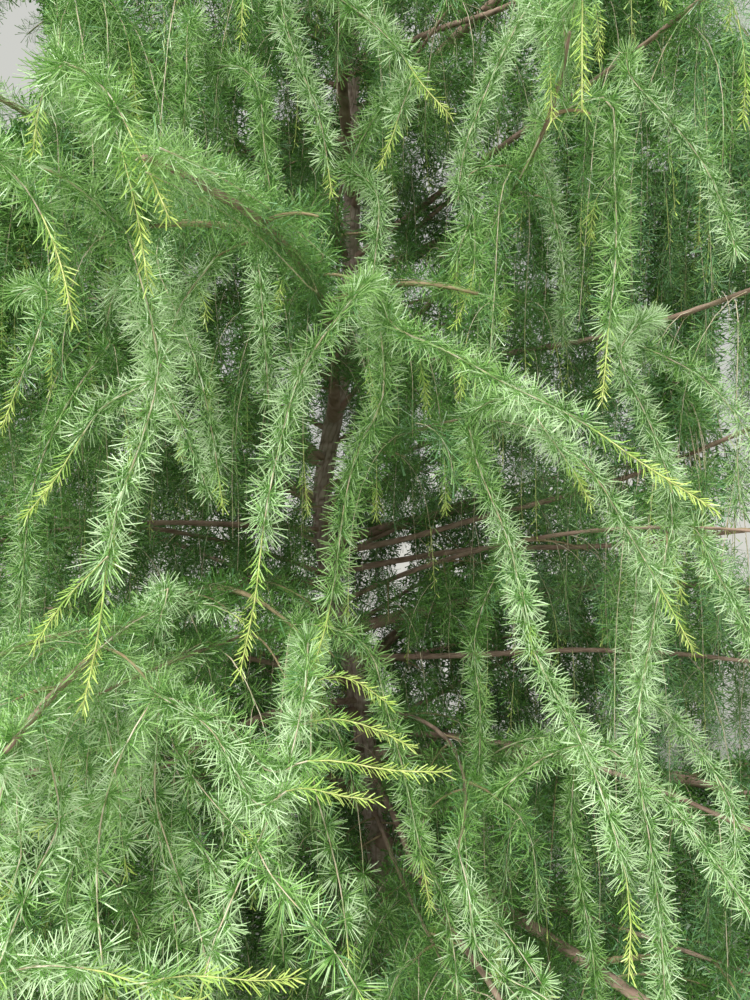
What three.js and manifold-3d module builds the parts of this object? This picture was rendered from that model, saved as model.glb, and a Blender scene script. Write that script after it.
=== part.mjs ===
// A young European larch, about 4.8 m tall, grown in the open with boughs down to the ground.
// A slim, slightly crooked trunk stands on its root flare. Level boughs leave it all round, and from
// each bough's outer part long shoots hang down in a loose curtain of needles.
// The origin is at the middle of the flat cut at ground level, +Z is up, and -Y is the side in the photo.
import * as THREE from "three";
import { mergeVertices } from "three/addons/utils/BufferGeometryUtils.js";
import Module from "manifold-3d";

const wasm = await Module();
wasm.setup();

// Driving dimensions, in millimetres, with angles in degrees.
const TRUNK_TOP = 4440;
const TREE_TOP = 4800;
const TRUNK_RADIUS = 30;
const TRUNK_TAPER_HEIGHT = 5000;
const TRUNK_TAPER_POWER = 0.8;
const FLARE_RADIUS = 26;
const FLARE_HEIGHT = 75;
const FLARE_LOBES = 5;
const CLEAR = 0.3; // the gap between neighbouring solids
const SLIVER = 0.03; // edges shorter than this are closed up

const LOWEST_BOUGH = 340;
const BOUGH_SPACING = 105;
const UPPER_SPACING = 152;
const UPPER_LIMBS = 10; // short limbs that carry foliage right from the trunk
const GOLDEN_ANGLE = 137.5;
const UPPER_TURN = 20;
const WIDEST_REACH = 1400;
const WIDEST_HEIGHT = 750;
const REACH_APEX = 4950;
const REACH_POWER = 0.9;
const FOLIAGE_FROM = 0.42; // share of a bough's reach where it enters its foliage

const STEM_SLEEVE = 1.2; // needles close round the stem make it that much thicker
const SIDE_TWIG_EVERY = 480; // millimetres of reach for each side twig
const SIDE_TWIG_FORK = 44;
const SIDE_TWIG_SHARE = 0.42;
const SIDE_TWIG_TIP = 2;
const SHOOT_SPACING = 165;
const FEWEST_SHOOTS = 3;
const SHOOT_HALF_WIDTH = 48;
const SHOOT_THICKNESS = 5.5;
const GROUND_CLEARANCE = 60;
const KEEP_OFF = 2; // between the space of one mass and the next

// The way each bough points, from the lowest up: 0 is right in the photo and -90 is towards the viewer.
const BOUGH_AZIMUTHS = [
  95, -140, -62, 160, -28, 224, 60, 2, -108, 15, 128, 178,
  -86, 65, -122, -22, 168, -92, -48, 95, 205, -8, -112, 35,
];
const LIMB_COUNT = BOUGH_AZIMUTHS.length + UPPER_LIMBS;
const LEADER = LIMB_COUNT;

const UP = new THREE.Vector3(0, 0, 1);
const radians = THREE.MathUtils.degToRad;

// A repeatable number from 0 to 1 for one limb, one shoot and one use.
function chance(limb, shoot, use) {
  let h = Math.imul(limb + 1, 374761393) ^ Math.imul(shoot + 1, 668265263);
  h ^= Math.imul(use + 1, 1274126177);
  h = Math.imul(h ^ (h >>> 15), 2246822519);
  h = Math.imul(h ^ (h >>> 13), 3266489917);
  return ((h ^ (h >>> 16)) >>> 0) / 4294967296;
}

// The trunk leans a little at the foot and bows to the left at the height of a person's chest.
function trunkCentre(z) {
  const lean = -95 * (1 - Math.exp(-((z / 800) ** 2)));
  const bow = -80 * Math.exp(-(((z - 1360) / 330) ** 2));
  return new THREE.Vector3(lean + bow, 20 * Math.sin(z / 700), z);
}

function trunkRadius(z, angle) {
  const stem = TRUNK_RADIUS * (1 - z / TRUNK_TAPER_HEIGHT) ** TRUNK_TAPER_POWER;
  const lobes = 1 + 0.35 * Math.cos(FLARE_LOBES * angle + 0.8);
  return stem + FLARE_RADIUS * lobes * Math.exp(-z / FLARE_HEIGHT);
}

// How far the crown reaches from the trunk at a height.
function crownReach(z) {
  if (z < WIDEST_HEIGHT) return WIDEST_REACH * (0.84 + (0.16 * z) / WIDEST_HEIGHT);
  return WIDEST_REACH * ((REACH_APEX - z) / (REACH_APEX - WIDEST_HEIGHT)) ** REACH_POWER;
}

function limbOf(index) {
  const boughs = BOUGH_AZIMUTHS.length;
  const upper = index - boughs;
  const height = upper < 0
    ? LOWEST_BOUGH + BOUGH_SPACING * index
    : LOWEST_BOUGH + BOUGH_SPACING * boughs + UPPER_SPACING * (upper + 0.3);
  const azimuth = upper < 0 ? BOUGH_AZIMUTHS[index] : GOLDEN_ANGLE * upper + UPPER_TURN;
  const reach = crownReach(height) * (0.9 + 0.16 * chance(index, 0, 1));
  const share = height / TREE_TOP;
  return {
    index,
    height,
    azimuth: radians(azimuth),
    reach,
    rise: 0.16 + 0.74 * share ** 1.2 + 0.24 * Math.exp(-((height / 480) ** 2)),
    sag: 0.24,
    sway: 0.36 * (chance(index, 0, 2) - 0.5),
    radius: 4.2 + 0.0062 * reach,
    tipRadius: 2.6,
    from: upper < 0 ? FOLIAGE_FROM : 0,
    size: Math.min(1, (reach / 1100) ** 0.55),
  };
}

// A point of a limb's centre line: it leaves the trunk rising, sags under its load and swings a little.
function limbPoint(limb, t) {
  if (limb.index === LEADER) {
    const foot = trunkCentre(TRUNK_TOP);
    return foot.add(new THREE.Vector3(26 * t * t, -14 * t, limb.reach * t));
  }
  const turn = limb.azimuth + limb.sway * t * t;
  const foot = trunkCentre(limb.height);
  const out = limb.reach * t;
  const climb = limb.reach * (limb.rise * t - limb.sag * t * t);
  return foot.add(new THREE.Vector3(out * Math.cos(turn), out * Math.sin(turn), climb));
}

function limbRadius(limb, t) {
  return limb.tipRadius + limb.radius * (1 - t) ** 0.85;
}

function tangentOf(path, t) {
  const step = 0.004;
  return path(t + step).sub(path(t - step)).normalize();
}

// A closed tapering tube with flat ends: a unit cylinder whose rings are set along a path.
function tube(path, radius, from, to, rings, sides) {
  const geometry = new THREE.CylinderGeometry(1, 1, 1, sides, rings);
  const place = geometry.getAttribute("position");
  for (let i = 0; i < place.count; i += 1) {
    const t = from + (to - from) * (place.getY(i) + 0.5);
    const along = tangentOf(path, t);
    const side = along.clone().cross(Math.abs(along.z) > 0.9 ? new THREE.Vector3(0, 1, 0) : UP).normalize();
    const top = side.clone().cross(along);
    const point = path(t)
      .addScaledVector(side, place.getX(i) * radius(t))
      .addScaledVector(top, place.getZ(i) * radius(t));
    place.setXYZ(i, point.x, point.y, point.z);
  }
  return geometry;
}

// The trunk's closed surface, swollen by a margin where it serves to cut its neighbours clear.
function trunkGeometry(margin) {
  const geometry = new THREE.CylinderGeometry(1, 1, 1, 10, 22);
  const place = geometry.getAttribute("position");
  for (let i = 0; i < place.count; i += 1) {
    const share = Math.max(0, place.getY(i) + 0.5);
    const z = TRUNK_TOP * share ** 1.5;
    const across = Math.hypot(place.getX(i), place.getZ(i));
    const angle = Math.atan2(-place.getZ(i), place.getX(i));
    const radius = (trunkRadius(z, angle) + margin) * across;
    const centre = trunkCentre(z);
    place.setXYZ(i, centre.x + radius * Math.cos(angle), centre.y + radius * Math.sin(angle), z);
  }
  return geometry;
}

function solidOf(geometry) {
  const bare = geometry.clone();
  bare.deleteAttribute("normal");
  bare.deleteAttribute("uv");
  const merged = mergeVertices(bare, 1e-3);
  return new wasm.Manifold(new wasm.Mesh({
    numProp: 3,
    vertProperties: new Float32Array(merged.getAttribute("position").array),
    triVerts: new Uint32Array(merged.index.array),
  }));
}

function geometryOf(solid) {
  const mesh = solid.getMesh();
  const geometry = new THREE.BufferGeometry();
  geometry.setAttribute("position", new THREE.BufferAttribute(mesh.vertProperties, 3));
  geometry.setIndex(new THREE.BufferAttribute(mesh.triVerts, 1));
  geometry.computeVertexNormals();
  return geometry;
}

// The one body that counts: scraps that a cut left loose are dropped.
function mainBody(solid) {
  const bodies = solid.decompose();
  return bodies.reduce((a, b) => (a.volume() > b.volume() ? a : b));
}

// Twigs. A limb's outer part is its first twig, the stem. Side twigs fork from it, right and left in turn.
function stemOf(limb) {
  return {
    limb,
    number: 0,
    point: (t) => limbPoint(limb, t),
    radius: (t) => limbRadius(limb, t) + STEM_SLEEVE,
    from: limb.from,
    to: 0.99,
    length: limb.reach,
  };
}

function sideTwigsOf(limb) {
  const count = limb.index === LEADER ? 0 : Math.round(limb.reach / SIDE_TWIG_EVERY);
  return Array.from({ length: count }, (_, k) => {
    const t = limb.from + 0.05 + ((0.9 - limb.from) * (k + 0.2)) / count;
    const root = limbPoint(limb, t);
    const fork = radians(SIDE_TWIG_FORK + 14 * chance(limb.index, k, 7)) * (k % 2 ? -1 : 1);
    const out = levelDirection((s) => limbPoint(limb, s), t).applyAxisAngle(UP, fork);
    const length = SIDE_TWIG_SHARE * limb.reach * (1.12 - t);
    const thickness = 0.55 * limbRadius(limb, t);
    return {
      limb,
      number: k + 1,
      point: (u) => root.clone().addScaledVector(out, length * u)
        .addScaledVector(UP, length * (0.2 * u - 0.3 * u * u)),
      radius: (u) => thickness * (1 - u) + SIDE_TWIG_TIP,
      from: 0,
      to: 1,
      length,
    };
  });
}

function levelDirection(path, t) {
  const along = tangentOf(path, t);
  return new THREE.Vector3(along.x, along.y, 0).normalize();
}

// Hanging shoots. A shoot leaves its twig sideways and forwards, arches over and hangs down.
function shootOf(twig, number, u, side) {
  const { limb } = twig;
  const roll = (use) => chance(limb.index, 20 * twig.number + number, use);
  const root = twig.point(u);
  const fork = radians(42 + 26 * roll(3)) * side;
  const wanted = (230 + 250 * roll(5)) * limb.size * (side === 0 ? 0.6 : 1);
  return {
    root,
    out: levelDirection(twig.point, u).applyAxisAngle(UP, fork),
    spread: (95 + 115 * roll(4)) * limb.size,
    hang: Math.min(wanted, root.z - GROUND_CLEARANCE),
    lift: 16,
    twist: 1.9 * (roll(6) - 0.5),
    width: SHOOT_HALF_WIDTH * (0.6 + 0.4 * limb.size),
  };
}

// The side shoots of the leader stand out all round and rise, and its last one is the tree's top.
function leaderShoot(twig, number, t, side) {
  const turn = radians(GOLDEN_ANGLE * number);
  const root = twig.point(t);
  return {
    root,
    out: new THREE.Vector3(Math.cos(turn), Math.sin(turn), 0),
    spread: side === 0 ? 12 : 120 - 60 * t,
    hang: side === 0 ? root.z - TREE_TOP : -45,
    lift: 0,
    twist: 0.4,
    width: 20,
  };
}

function shootPoint(shoot, u) {
  return shoot.root.clone()
    .addScaledVector(shoot.out, shoot.spread * (1 - (1 - u) ** 2))
    .addScaledVector(UP, shoot.lift * Math.sin(Math.PI * u) - shoot.hang * Math.max(u, 0) ** 1.5);
}

// A blade's outline: where its ridge bends, and its toothed edge as [share of length, share of half width].
const RIDGE = [0, 0.45];
const EDGE = [[0, 0.1], [0.36, 1], [0.54, 0.42], [0.76, 0.9]];

function bladeAxes(shoot, u) {
  const turn = shoot.twist * u;
  const level = UP.clone().cross(shoot.out).multiplyScalar(Math.cos(turn))
    .addScaledVector(shoot.out, Math.sin(turn));
  const along = tangentOf((s) => shootPoint(shoot, s), Math.max(u, 0.01));
  const width = level.addScaledVector(along, -level.dot(along)).normalize();
  return { width, normal: width.clone().cross(along) };
}

// Triangles between an inner and an outer row of points that both end at the tip.
function stitch(inner, outer, innerAt, outerAt) {
  const triangles = [];
  let i = 0;
  let j = 0;
  while (i < inner.length - 1 || j < outer.length - 1) {
    const innerDone = i === inner.length - 1;
    const outerDone = j === outer.length - 1;
    const moveOut = innerDone || (!outerDone && outerAt[j + 1] <= innerAt[i + 1]);
    const next = moveOut ? outer[j + 1] : inner[i + 1];
    triangles.push([inner[i], outer[j], next]);
    if (moveOut) j += 1;
    else i += 1;
  }
  return triangles.filter((corners) => new Set(corners).size === 3);
}

// A shoot as a toothed blade: a raised ridge down the middle and a thin edge of needle tufts.
function bladeGeometry(shoot) {
  const points = [];
  const add = (point) => points.push(point) - 1;
  const tip = add(shootPoint(shoot, 1));
  const triangles = [];
  const ridges = {};
  const edges = {};
  for (const sign of [1, -1]) {
    ridges[sign] = RIDGE.map((u) => {
      const half = (SHOOT_THICKNESS / 2) * (1 - 0.35 * u);
      return add(shootPoint(shoot, u).addScaledVector(bladeAxes(shoot, u).normal, sign * half));
    });
    edges[sign] = EDGE.map(([u, share]) =>
      add(shootPoint(shoot, u).addScaledVector(bladeAxes(shoot, u).width, sign * share * shoot.width)));
  }
  const edgeAt = [...EDGE.map(([u]) => u), 1];
  for (const face of [1, -1])
    for (const side of [1, -1]) {
      const strip = stitch([...ridges[face], tip], [...edges[side], tip], [...RIDGE, 1], edgeAt);
      for (const corners of strip) triangles.push(...(face * side < 0 ? corners.reverse() : corners));
    }
  triangles.push(ridges[1][0], edges[-1][0], ridges[-1][0]);
  triangles.push(ridges[1][0], ridges[-1][0], edges[1][0]);
  const geometry = new THREE.BufferGeometry().setFromPoints(points);
  geometry.setIndex(triangles);
  return geometry;
}

// Space already taken, as chains of round-ended rods: each mass keeps clear of all the others.
const taken = [];

function rods(path, radius, from, to, steps) {
  return Array.from({ length: steps }, (_, i) => {
    const a = from + ((to - from) * i) / steps;
    const b = from + ((to - from) * (i + 1)) / steps;
    return { line: new THREE.Line3(path(a), path(b)), radius: Math.max(radius(a), radius(b)) };
  });
}

// The least distance between two straight lines.
function lineGap(p, q) {
  const d = p.delta(new THREE.Vector3());
  const e = q.delta(new THREE.Vector3());
  const r = p.start.clone().sub(q.start);
  const [dd, ee, de, dr, er] = [d.dot(d), e.dot(e), d.dot(e), d.dot(r), e.dot(r)];
  const share = (x) => THREE.MathUtils.clamp(x, 0, 1);
  const spread = dd * ee - de * de;
  const first = spread > 1e-9 ? share((de * er - dr * ee) / spread) : 0;
  const t = share((de * first + er) / ee);
  const s = share((de * t - dr) / dd);
  return p.at(s, new THREE.Vector3()).distanceTo(q.at(t, new THREE.Vector3()));
}

// Whether a chain lies clear of all that is taken, apart from the twigs of its own mass.
function isFree(chain, owner) {
  return chain.every((rod) => taken.every((other) => {
    const own = other.owner === owner;
    if (own && other.woody) return true;
    const keep = rod.radius + other.radius + (own ? 0 : KEEP_OFF);
    return lineGap(rod.line, other.line) > keep;
  }));
}

function take(chain, owner, woody) {
  chain.forEach((rod) => taken.push({ ...rod, owner, woody }));
}

const limbs = Array.from({ length: LIMB_COUNT }, (_, i) => limbOf(i));
limbs.push({
  index: LEADER, height: TRUNK_TOP, reach: TREE_TOP - TRUNK_TOP - 60, radius: 2.5, tipRadius: 2.4, from: 0, size: 0.5,
});

take(rods((t) => trunkCentre(t * TRUNK_TOP), (t) => trunkRadius(t * TRUNK_TOP, 0), 0.02, 1, 30), "trunk", true);
for (const limb of limbs)
  take(rods((t) => limbPoint(limb, t), (t) => limbRadius(limb, t) + 2, 0.05, 1, 8), limb.index, true);

const twigs = new Map();
for (const limb of limbs) {
  const sides = sideTwigsOf(limb).filter((twig) => {
    const chain = rods(twig.point, (u) => twig.radius(u) + 1, 0.1, 1, 3);
    const free = isFree(chain, limb.index);
    if (free) take(chain, limb.index, true);
    return free;
  });
  twigs.set(limb, [stemOf(limb), ...sides]);
}

// The ways a shoot is tried where it is crowded: [share of its length, turn of its direction].
const TRIES = [[1, 0], [1, 25], [1, -25], [0.75, 0], [0.75, 30], [0.75, -30], [0.55, 0]];

function fittedShoot(shoot, owner) {
  for (const [share, turn] of TRIES) {
    const tried = {
      ...shoot,
      hang: shoot.hang * share,
      spread: shoot.spread * (0.5 + 0.5 * share),
      out: shoot.out.clone().applyAxisAngle(UP, radians(turn)),
    };
    const chain = rods((u) => shootPoint(tried, u), () => tried.width, 0.3, 1, 3);
    if (!isFree(chain, owner)) continue;
    take(chain, owner, false);
    return tried;
  }
  return null;
}

// The shoots along a twig, right and left in turn, with one that carries on at its end.
function shootsOf(twig) {
  const { limb } = twig;
  const inner = twig.number === 0 ? Math.max(twig.from + 0.04, 70 / limb.reach) : 0.25;
  const count = Math.max(twig.number === 0 ? FEWEST_SHOOTS : 1, Math.round(((1 - inner) * twig.length) / SHOOT_SPACING));
  const make = limb.index === LEADER ? leaderShoot : shootOf;
  return Array.from({ length: count + 1 }, (_, k) => {
    const last = k === count;
    const u = last ? 0.985 : inner + ((1 - inner) * (k + 0.35)) / count;
    return fittedShoot(make(twig, k, u, last ? 0 : k % 2 ? 1 : -1), limb.index);
  }).filter(Boolean);
}

const bark = new THREE.MeshStandardMaterial({ color: 0x6a5648, roughness: 0.95, metalness: 0 });
const needles = new THREE.MeshStandardMaterial({ color: 0x6f9554, roughness: 0.6, metalness: 0 });
const larch = new THREE.Group();

function place(name, geometry, material) {
  const mesh = new THREE.Mesh(geometry, material);
  mesh.name = name;
  larch.add(mesh);
}

const label = (index) => String(index + 1).padStart(2, "0");
const swollenTrunk = solidOf(trunkGeometry(CLEAR + 0.1));

// The trunk, whole from its flat cut at the ground to its tip under the leader.
place("trunk", trunkGeometry(0), bark);

// The boughs: bare tapering limbs from the trunk to where their foliage begins.
for (const limb of limbs.filter((each) => each.from > 0)) {
  const wood = tube((t) => limbPoint(limb, t), (t) => limbRadius(limb, t), 0, limb.from, 3, 5);
  place(`bough_${label(limb.index)}`, geometryOf(mainBody(solidOf(wood).subtract(swollenTrunk))), bark);
}

// The masses of foliage: a stem that goes on from the bough or the trunk, with twigs and shoots fused on.
for (const limb of limbs) {
  const gap = limb.from > 0 || limb.index === LEADER ? CLEAR / limb.reach : 0;
  let mass = null;
  for (const twig of twigs.get(limb)) {
    const isStem = twig.number === 0;
    const from = isStem ? twig.from + gap : 0;
    const wood = solidOf(tube(twig.point, twig.radius, from, twig.to, isStem ? 4 : 2, 3));
    mass = mass ? mass.add(wood) : wood;
    for (const shoot of shootsOf(twig)) mass = mass.add(solidOf(bladeGeometry(shoot)));
  }
  if (limb.index !== LEADER) mass = mass.subtract(swollenTrunk);
  const name = limb.index === LEADER ? "foliage_leader" : `foliage_${label(limb.index)}`;
  place(name, geometryOf(mainBody(mass).simplify(SLIVER)), needles);
}

export default larch;
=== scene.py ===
import bpy
import numpy as np
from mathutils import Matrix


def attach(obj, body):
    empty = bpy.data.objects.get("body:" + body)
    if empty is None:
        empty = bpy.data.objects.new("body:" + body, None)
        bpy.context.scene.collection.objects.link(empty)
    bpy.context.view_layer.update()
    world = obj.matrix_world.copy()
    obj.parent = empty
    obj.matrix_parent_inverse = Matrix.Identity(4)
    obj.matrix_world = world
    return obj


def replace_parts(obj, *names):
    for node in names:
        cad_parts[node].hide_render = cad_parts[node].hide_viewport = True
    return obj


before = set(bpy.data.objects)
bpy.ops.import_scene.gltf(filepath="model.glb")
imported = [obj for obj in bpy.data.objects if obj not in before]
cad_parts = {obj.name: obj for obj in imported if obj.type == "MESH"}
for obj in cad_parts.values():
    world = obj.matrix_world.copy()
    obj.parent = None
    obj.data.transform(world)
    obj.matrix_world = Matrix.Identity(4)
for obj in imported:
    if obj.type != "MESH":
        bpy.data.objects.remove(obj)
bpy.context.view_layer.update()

# The trunk
# A slim stem of live wood, tapering from its root flare to its tip, with a lean and one crook. Its thin
# bark has flaked into small scales, pinkish grey on their faces and dark brown in the cracks between.
MM = 0.001
TRUNK_TOP = 4.44
TRUNK_RADIUS = 0.030
TRUNK_TAPER_HEIGHT = 5.0
TRUNK_TAPER_POWER = 0.8
TRUNK_LEAN, LEAN_HEIGHT = 0.095, 0.8
BOW, BOW_HEIGHT, BOW_SPAN = 0.080, 1.36, 0.33
SWAY, SWAY_HEIGHT = 0.020, 0.7
FLARE_RADIUS = 0.026
FLARE_HEIGHT = 0.075
FLARE_LOBES, LOBE_DEPTH, LOBE_TURN = 5, 0.35, 0.8
TRUNK_RINGS = 580
TRUNK_SIDES = 60
SCALES_ROUND = 11
SCALE_HEIGHT = 0.022
SCALE_EDGE = 0.28
SCALE_DRIFT, DRIFT_SIZE = 0.5, 0.03
CRACK_DEPTH = 1.5 * MM
PLATE_RISE = 0.9 * MM
WAVE, WAVE_SIZE = 1.1 * MM, 0.018
SMOOTH_TOP, LEAST_RELIEF = 1.6, 0.15
TIP_RISE = 4 * MM
BARK_FACE = "#d4c1b5"
BARK_EDGE = "#a18d80"
BARK_CRACK = "#5a4940"
BARK_ALGAE = "#6b7350"
UP = np.array([0.0, 0.0, 1.0])


def linear(colour):
    """The linear value of an sRGB hex colour: a straight foot below 0.04045, a power of 2.4 above it."""
    parts = np.array([int(colour[i:i + 2], 16) for i in (1, 3, 5)]) / 255
    low, high = parts / 12.92, ((parts + 0.055) / 1.055) ** 2.4
    return [*np.where(parts <= 0.04045, low, high).tolist(), 1.0]


def add_node(material, kind, inputs=None, **settings):
    """Adds a node with its settings. An input is a value for its socket, or the output linked to it."""
    made = material.node_tree.nodes.new(kind)
    for name, value in settings.items():
        setattr(made, name, value)
    for name, value in (inputs or {}).items():
        if isinstance(value, bpy.types.NodeSocket):
            material.node_tree.links.new(value, made.inputs[name])
        else:
            made.inputs[name].default_value = value
    return made


def new_material(name):
    """A new material and its Principled shader."""
    material = bpy.data.materials.new(name)
    material.use_nodes = True
    return material, material.node_tree.nodes["Principled BSDF"]


def ramp(material, factor, stops):
    """A colour ramp over a factor, with its stops as (position, hex colour) in rising order."""
    made = add_node(material, "ShaderNodeValToRGB", {"Fac": factor})
    elements = made.color_ramp.elements
    while len(elements) < len(stops):
        elements.new(0.5)
    for element, (position, colour) in zip(elements, stops):
        element.position = position
        element.color = linear(colour)
    return made.outputs["Color"]


def mesh_piece(name, points, faces, material, slot, values=None, smooth=True):
    """A piece at the origin from an array of points and an array of triangles, with its values by point."""
    mesh = bpy.data.meshes.new(name)
    corners = faces.shape[1]
    mesh.vertices.add(len(points))
    mesh.vertices.foreach_set("co", np.ascontiguousarray(points, dtype=np.float32).ravel())
    mesh.loops.add(faces.size)
    mesh.loops.foreach_set("vertex_index", np.ascontiguousarray(faces, dtype=np.int32).ravel())
    mesh.polygons.add(len(faces))
    mesh.polygons.foreach_set("loop_start", np.arange(0, faces.size, corners, dtype=np.int32))
    mesh.polygons.foreach_set("loop_total", np.full(len(faces), corners, dtype=np.int32))
    mesh.polygons.foreach_set("use_smooth", np.full(len(faces), smooth))
    for key, array in (values or {}).items():
        attribute = mesh.attributes.new(key, "FLOAT", "POINT")
        attribute.data.foreach_set("value", np.ascontiguousarray(array, dtype=np.float32).ravel())
    mesh.update(calc_edges=True)
    mesh.validate()
    piece = bpy.data.objects.new(name, mesh)
    bpy.context.scene.collection.objects.link(piece)
    mesh.materials.append(material)
    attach(piece, "root")
    return piece


def mixed(start, numbers):
    """A repeatable chance from 0 to 1 for whole numbers: each takes a product with its own large odd number,
    the products are laid over the start bit by bit, and two more products with shifts mix the bits."""
    with np.errstate(over="ignore"):
        bits = np.uint32(start)
        for number, factor in zip(numbers, (374761393, 668265263, 1274126177)):
            bits = bits ^ ((np.asarray(number).astype(np.int64) + 1).astype(np.uint32) * np.uint32(factor))
        bits = (bits ^ (bits >> np.uint32(15))) * np.uint32(2246822519)
        bits = (bits ^ (bits >> np.uint32(13))) * np.uint32(3266489917)
    return (bits ^ (bits >> np.uint32(16))).astype(np.float64) / 2 ** 32


def lattice_chance(seed, *places):
    """A chance for each place on a whole-number lattice, different for each seed."""
    return mixed(seed * 40503 + 11, places)


def lumps(points, size, seed):
    """Soft noise from -1 to 1: chances on a cubic lattice of that size, with a smooth cubic between them."""
    place = points / size
    cell = np.floor(place).astype(np.int64)
    part = place - cell
    part = part * part * (3 - 2 * part)
    total = np.zeros(points.shape[:-1])
    for dx in (0, 1):
        for dy in (0, 1):
            for dz in (0, 1):
                weight = (np.where(dx, part[..., 0], 1 - part[..., 0])
                          * np.where(dy, part[..., 1], 1 - part[..., 1])
                          * np.where(dz, part[..., 2], 1 - part[..., 2]))
                value = lattice_chance(seed, cell[..., 0] + dx, cell[..., 1] + dy, cell[..., 2] + dz)
                total += weight * value
    return 2 * total - 1


def scale_pattern(around, up, count, seed):
    """Bark scales as cells wrapped round the stem, each with its centre anywhere in the cell's middle part:
    how much farther the second nearest centre is than the nearest, which is 0 in a crack, and a chance for
    each scale."""
    column, row = np.floor(around).astype(np.int64), np.floor(up).astype(np.int64)
    nearest = np.full(around.shape, 9.0)
    second = np.full(around.shape, 9.0)
    tone = np.zeros(around.shape)
    for step in (-1, 0, 1):
        for rise in (-1, 0, 1):
            wrapped = (column + step) % count
            x = column + step + 0.15 + 0.7 * lattice_chance(seed, wrapped, row + rise)
            y = row + rise + 0.1 + 0.8 * lattice_chance(seed + 1, wrapped, row + rise)
            gap = np.hypot(around - x, up - y)
            closer = gap < nearest
            second = np.where(closer, nearest, np.minimum(second, gap))
            tone = np.where(closer, lattice_chance(seed + 2, wrapped, row + rise), tone)
            nearest = np.where(closer, gap, nearest)
    return second - nearest, tone


def trunk_centre(z):
    """The middle of the trunk at a height: a lean that settles upwards, less a bell curve for the bow, and a
    slow wave away from the camera and back."""
    z = np.asarray(z, dtype=float)
    lean = -TRUNK_LEAN * (1 - np.exp(-(z / LEAN_HEIGHT) ** 2))
    bow = -BOW * np.exp(-((z - BOW_HEIGHT) / BOW_SPAN) ** 2)
    return np.stack([lean + bow, SWAY * np.sin(z / SWAY_HEIGHT), z], axis=-1)


def trunk_radius(z, angle):
    """A tapering stem, and at the foot a flare with lobes that dies out upwards."""
    stem = TRUNK_RADIUS * (1 - z / TRUNK_TAPER_HEIGHT) ** TRUNK_TAPER_POWER
    lobes = 1 + LOBE_DEPTH * np.cos(FLARE_LOBES * angle + LOBE_TURN)
    return stem + FLARE_RADIUS * lobes * np.exp(-z / FLARE_HEIGHT)


def ring_quads(rings, sides):
    """The quads between rings of points that lie ring after ring, each joined round from last to first."""
    low = np.arange(rings - 1)[:, None] * sides
    high = low + sides
    column = np.arange(sides)[None, :]
    after = (column + 1) % sides
    return np.stack([low + column, low + after, high + after, high + column], axis=-1).reshape(-1, 4)


def trunk_bark():
    """Rings of points up the trunk at its radius, raised by the face of each bark scale and sunk at its edge.
    Fans of triangles to a middle point close the foot flat and the tip in a low cone."""
    height = TRUNK_TOP * np.linspace(0, 1, TRUNK_RINGS)[:, None]
    angle = np.linspace(0, 2 * np.pi, TRUNK_SIDES, endpoint=False)[None, :]
    height, angle = np.broadcast_arrays(height, angle)
    direction = np.stack([np.cos(angle), np.sin(angle), np.zeros_like(angle)], axis=-1)
    rough = trunk_centre(height) + direction * trunk_radius(height, angle)[..., None]
    drift = SCALE_DRIFT * lumps(rough, DRIFT_SIZE, 5)
    edge, tone = scale_pattern(SCALES_ROUND * angle / (2 * np.pi) + drift, height / SCALE_HEIGHT + drift,
                               SCALES_ROUND, 3)
    face = np.clip(edge / SCALE_EDGE, 0, 1)
    thin = np.clip((TRUNK_TOP - height) / SMOOTH_TOP, LEAST_RELIEF, 1)
    relief = (face - 1) * CRACK_DEPTH + tone * PLATE_RISE + WAVE * lumps(rough, WAVE_SIZE, 9)
    points = trunk_centre(height) + direction * (trunk_radius(height, angle) + relief * thin)[..., None]
    points[0, :, 2] = 0
    foot, tip = trunk_centre(0.0)[None], trunk_centre(TRUNK_TOP)[None] + TIP_RISE * UP
    points = np.concatenate([points.reshape(-1, 3), foot, tip])
    crack = np.concatenate([(face * (0.55 + 0.45 * tone)).ravel(), [0.5, 0.5]])
    faces = ring_quads(TRUNK_RINGS, TRUNK_SIDES)
    column = np.arange(TRUNK_SIDES)
    after = (column + 1) % TRUNK_SIDES
    last = (TRUNK_RINGS - 1) * TRUNK_SIDES
    foot_fan = np.stack([after, column, np.full(TRUNK_SIDES, len(points) - 2)], axis=-1)
    tip_fan = np.stack([last + column, last + after, np.full(TRUNK_SIDES, len(points) - 1)], axis=-1)
    triangles = np.concatenate([faces[:, [0, 1, 2]], faces[:, [0, 2, 3]], foot_fan, tip_fan])
    return points, triangles, crack


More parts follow.
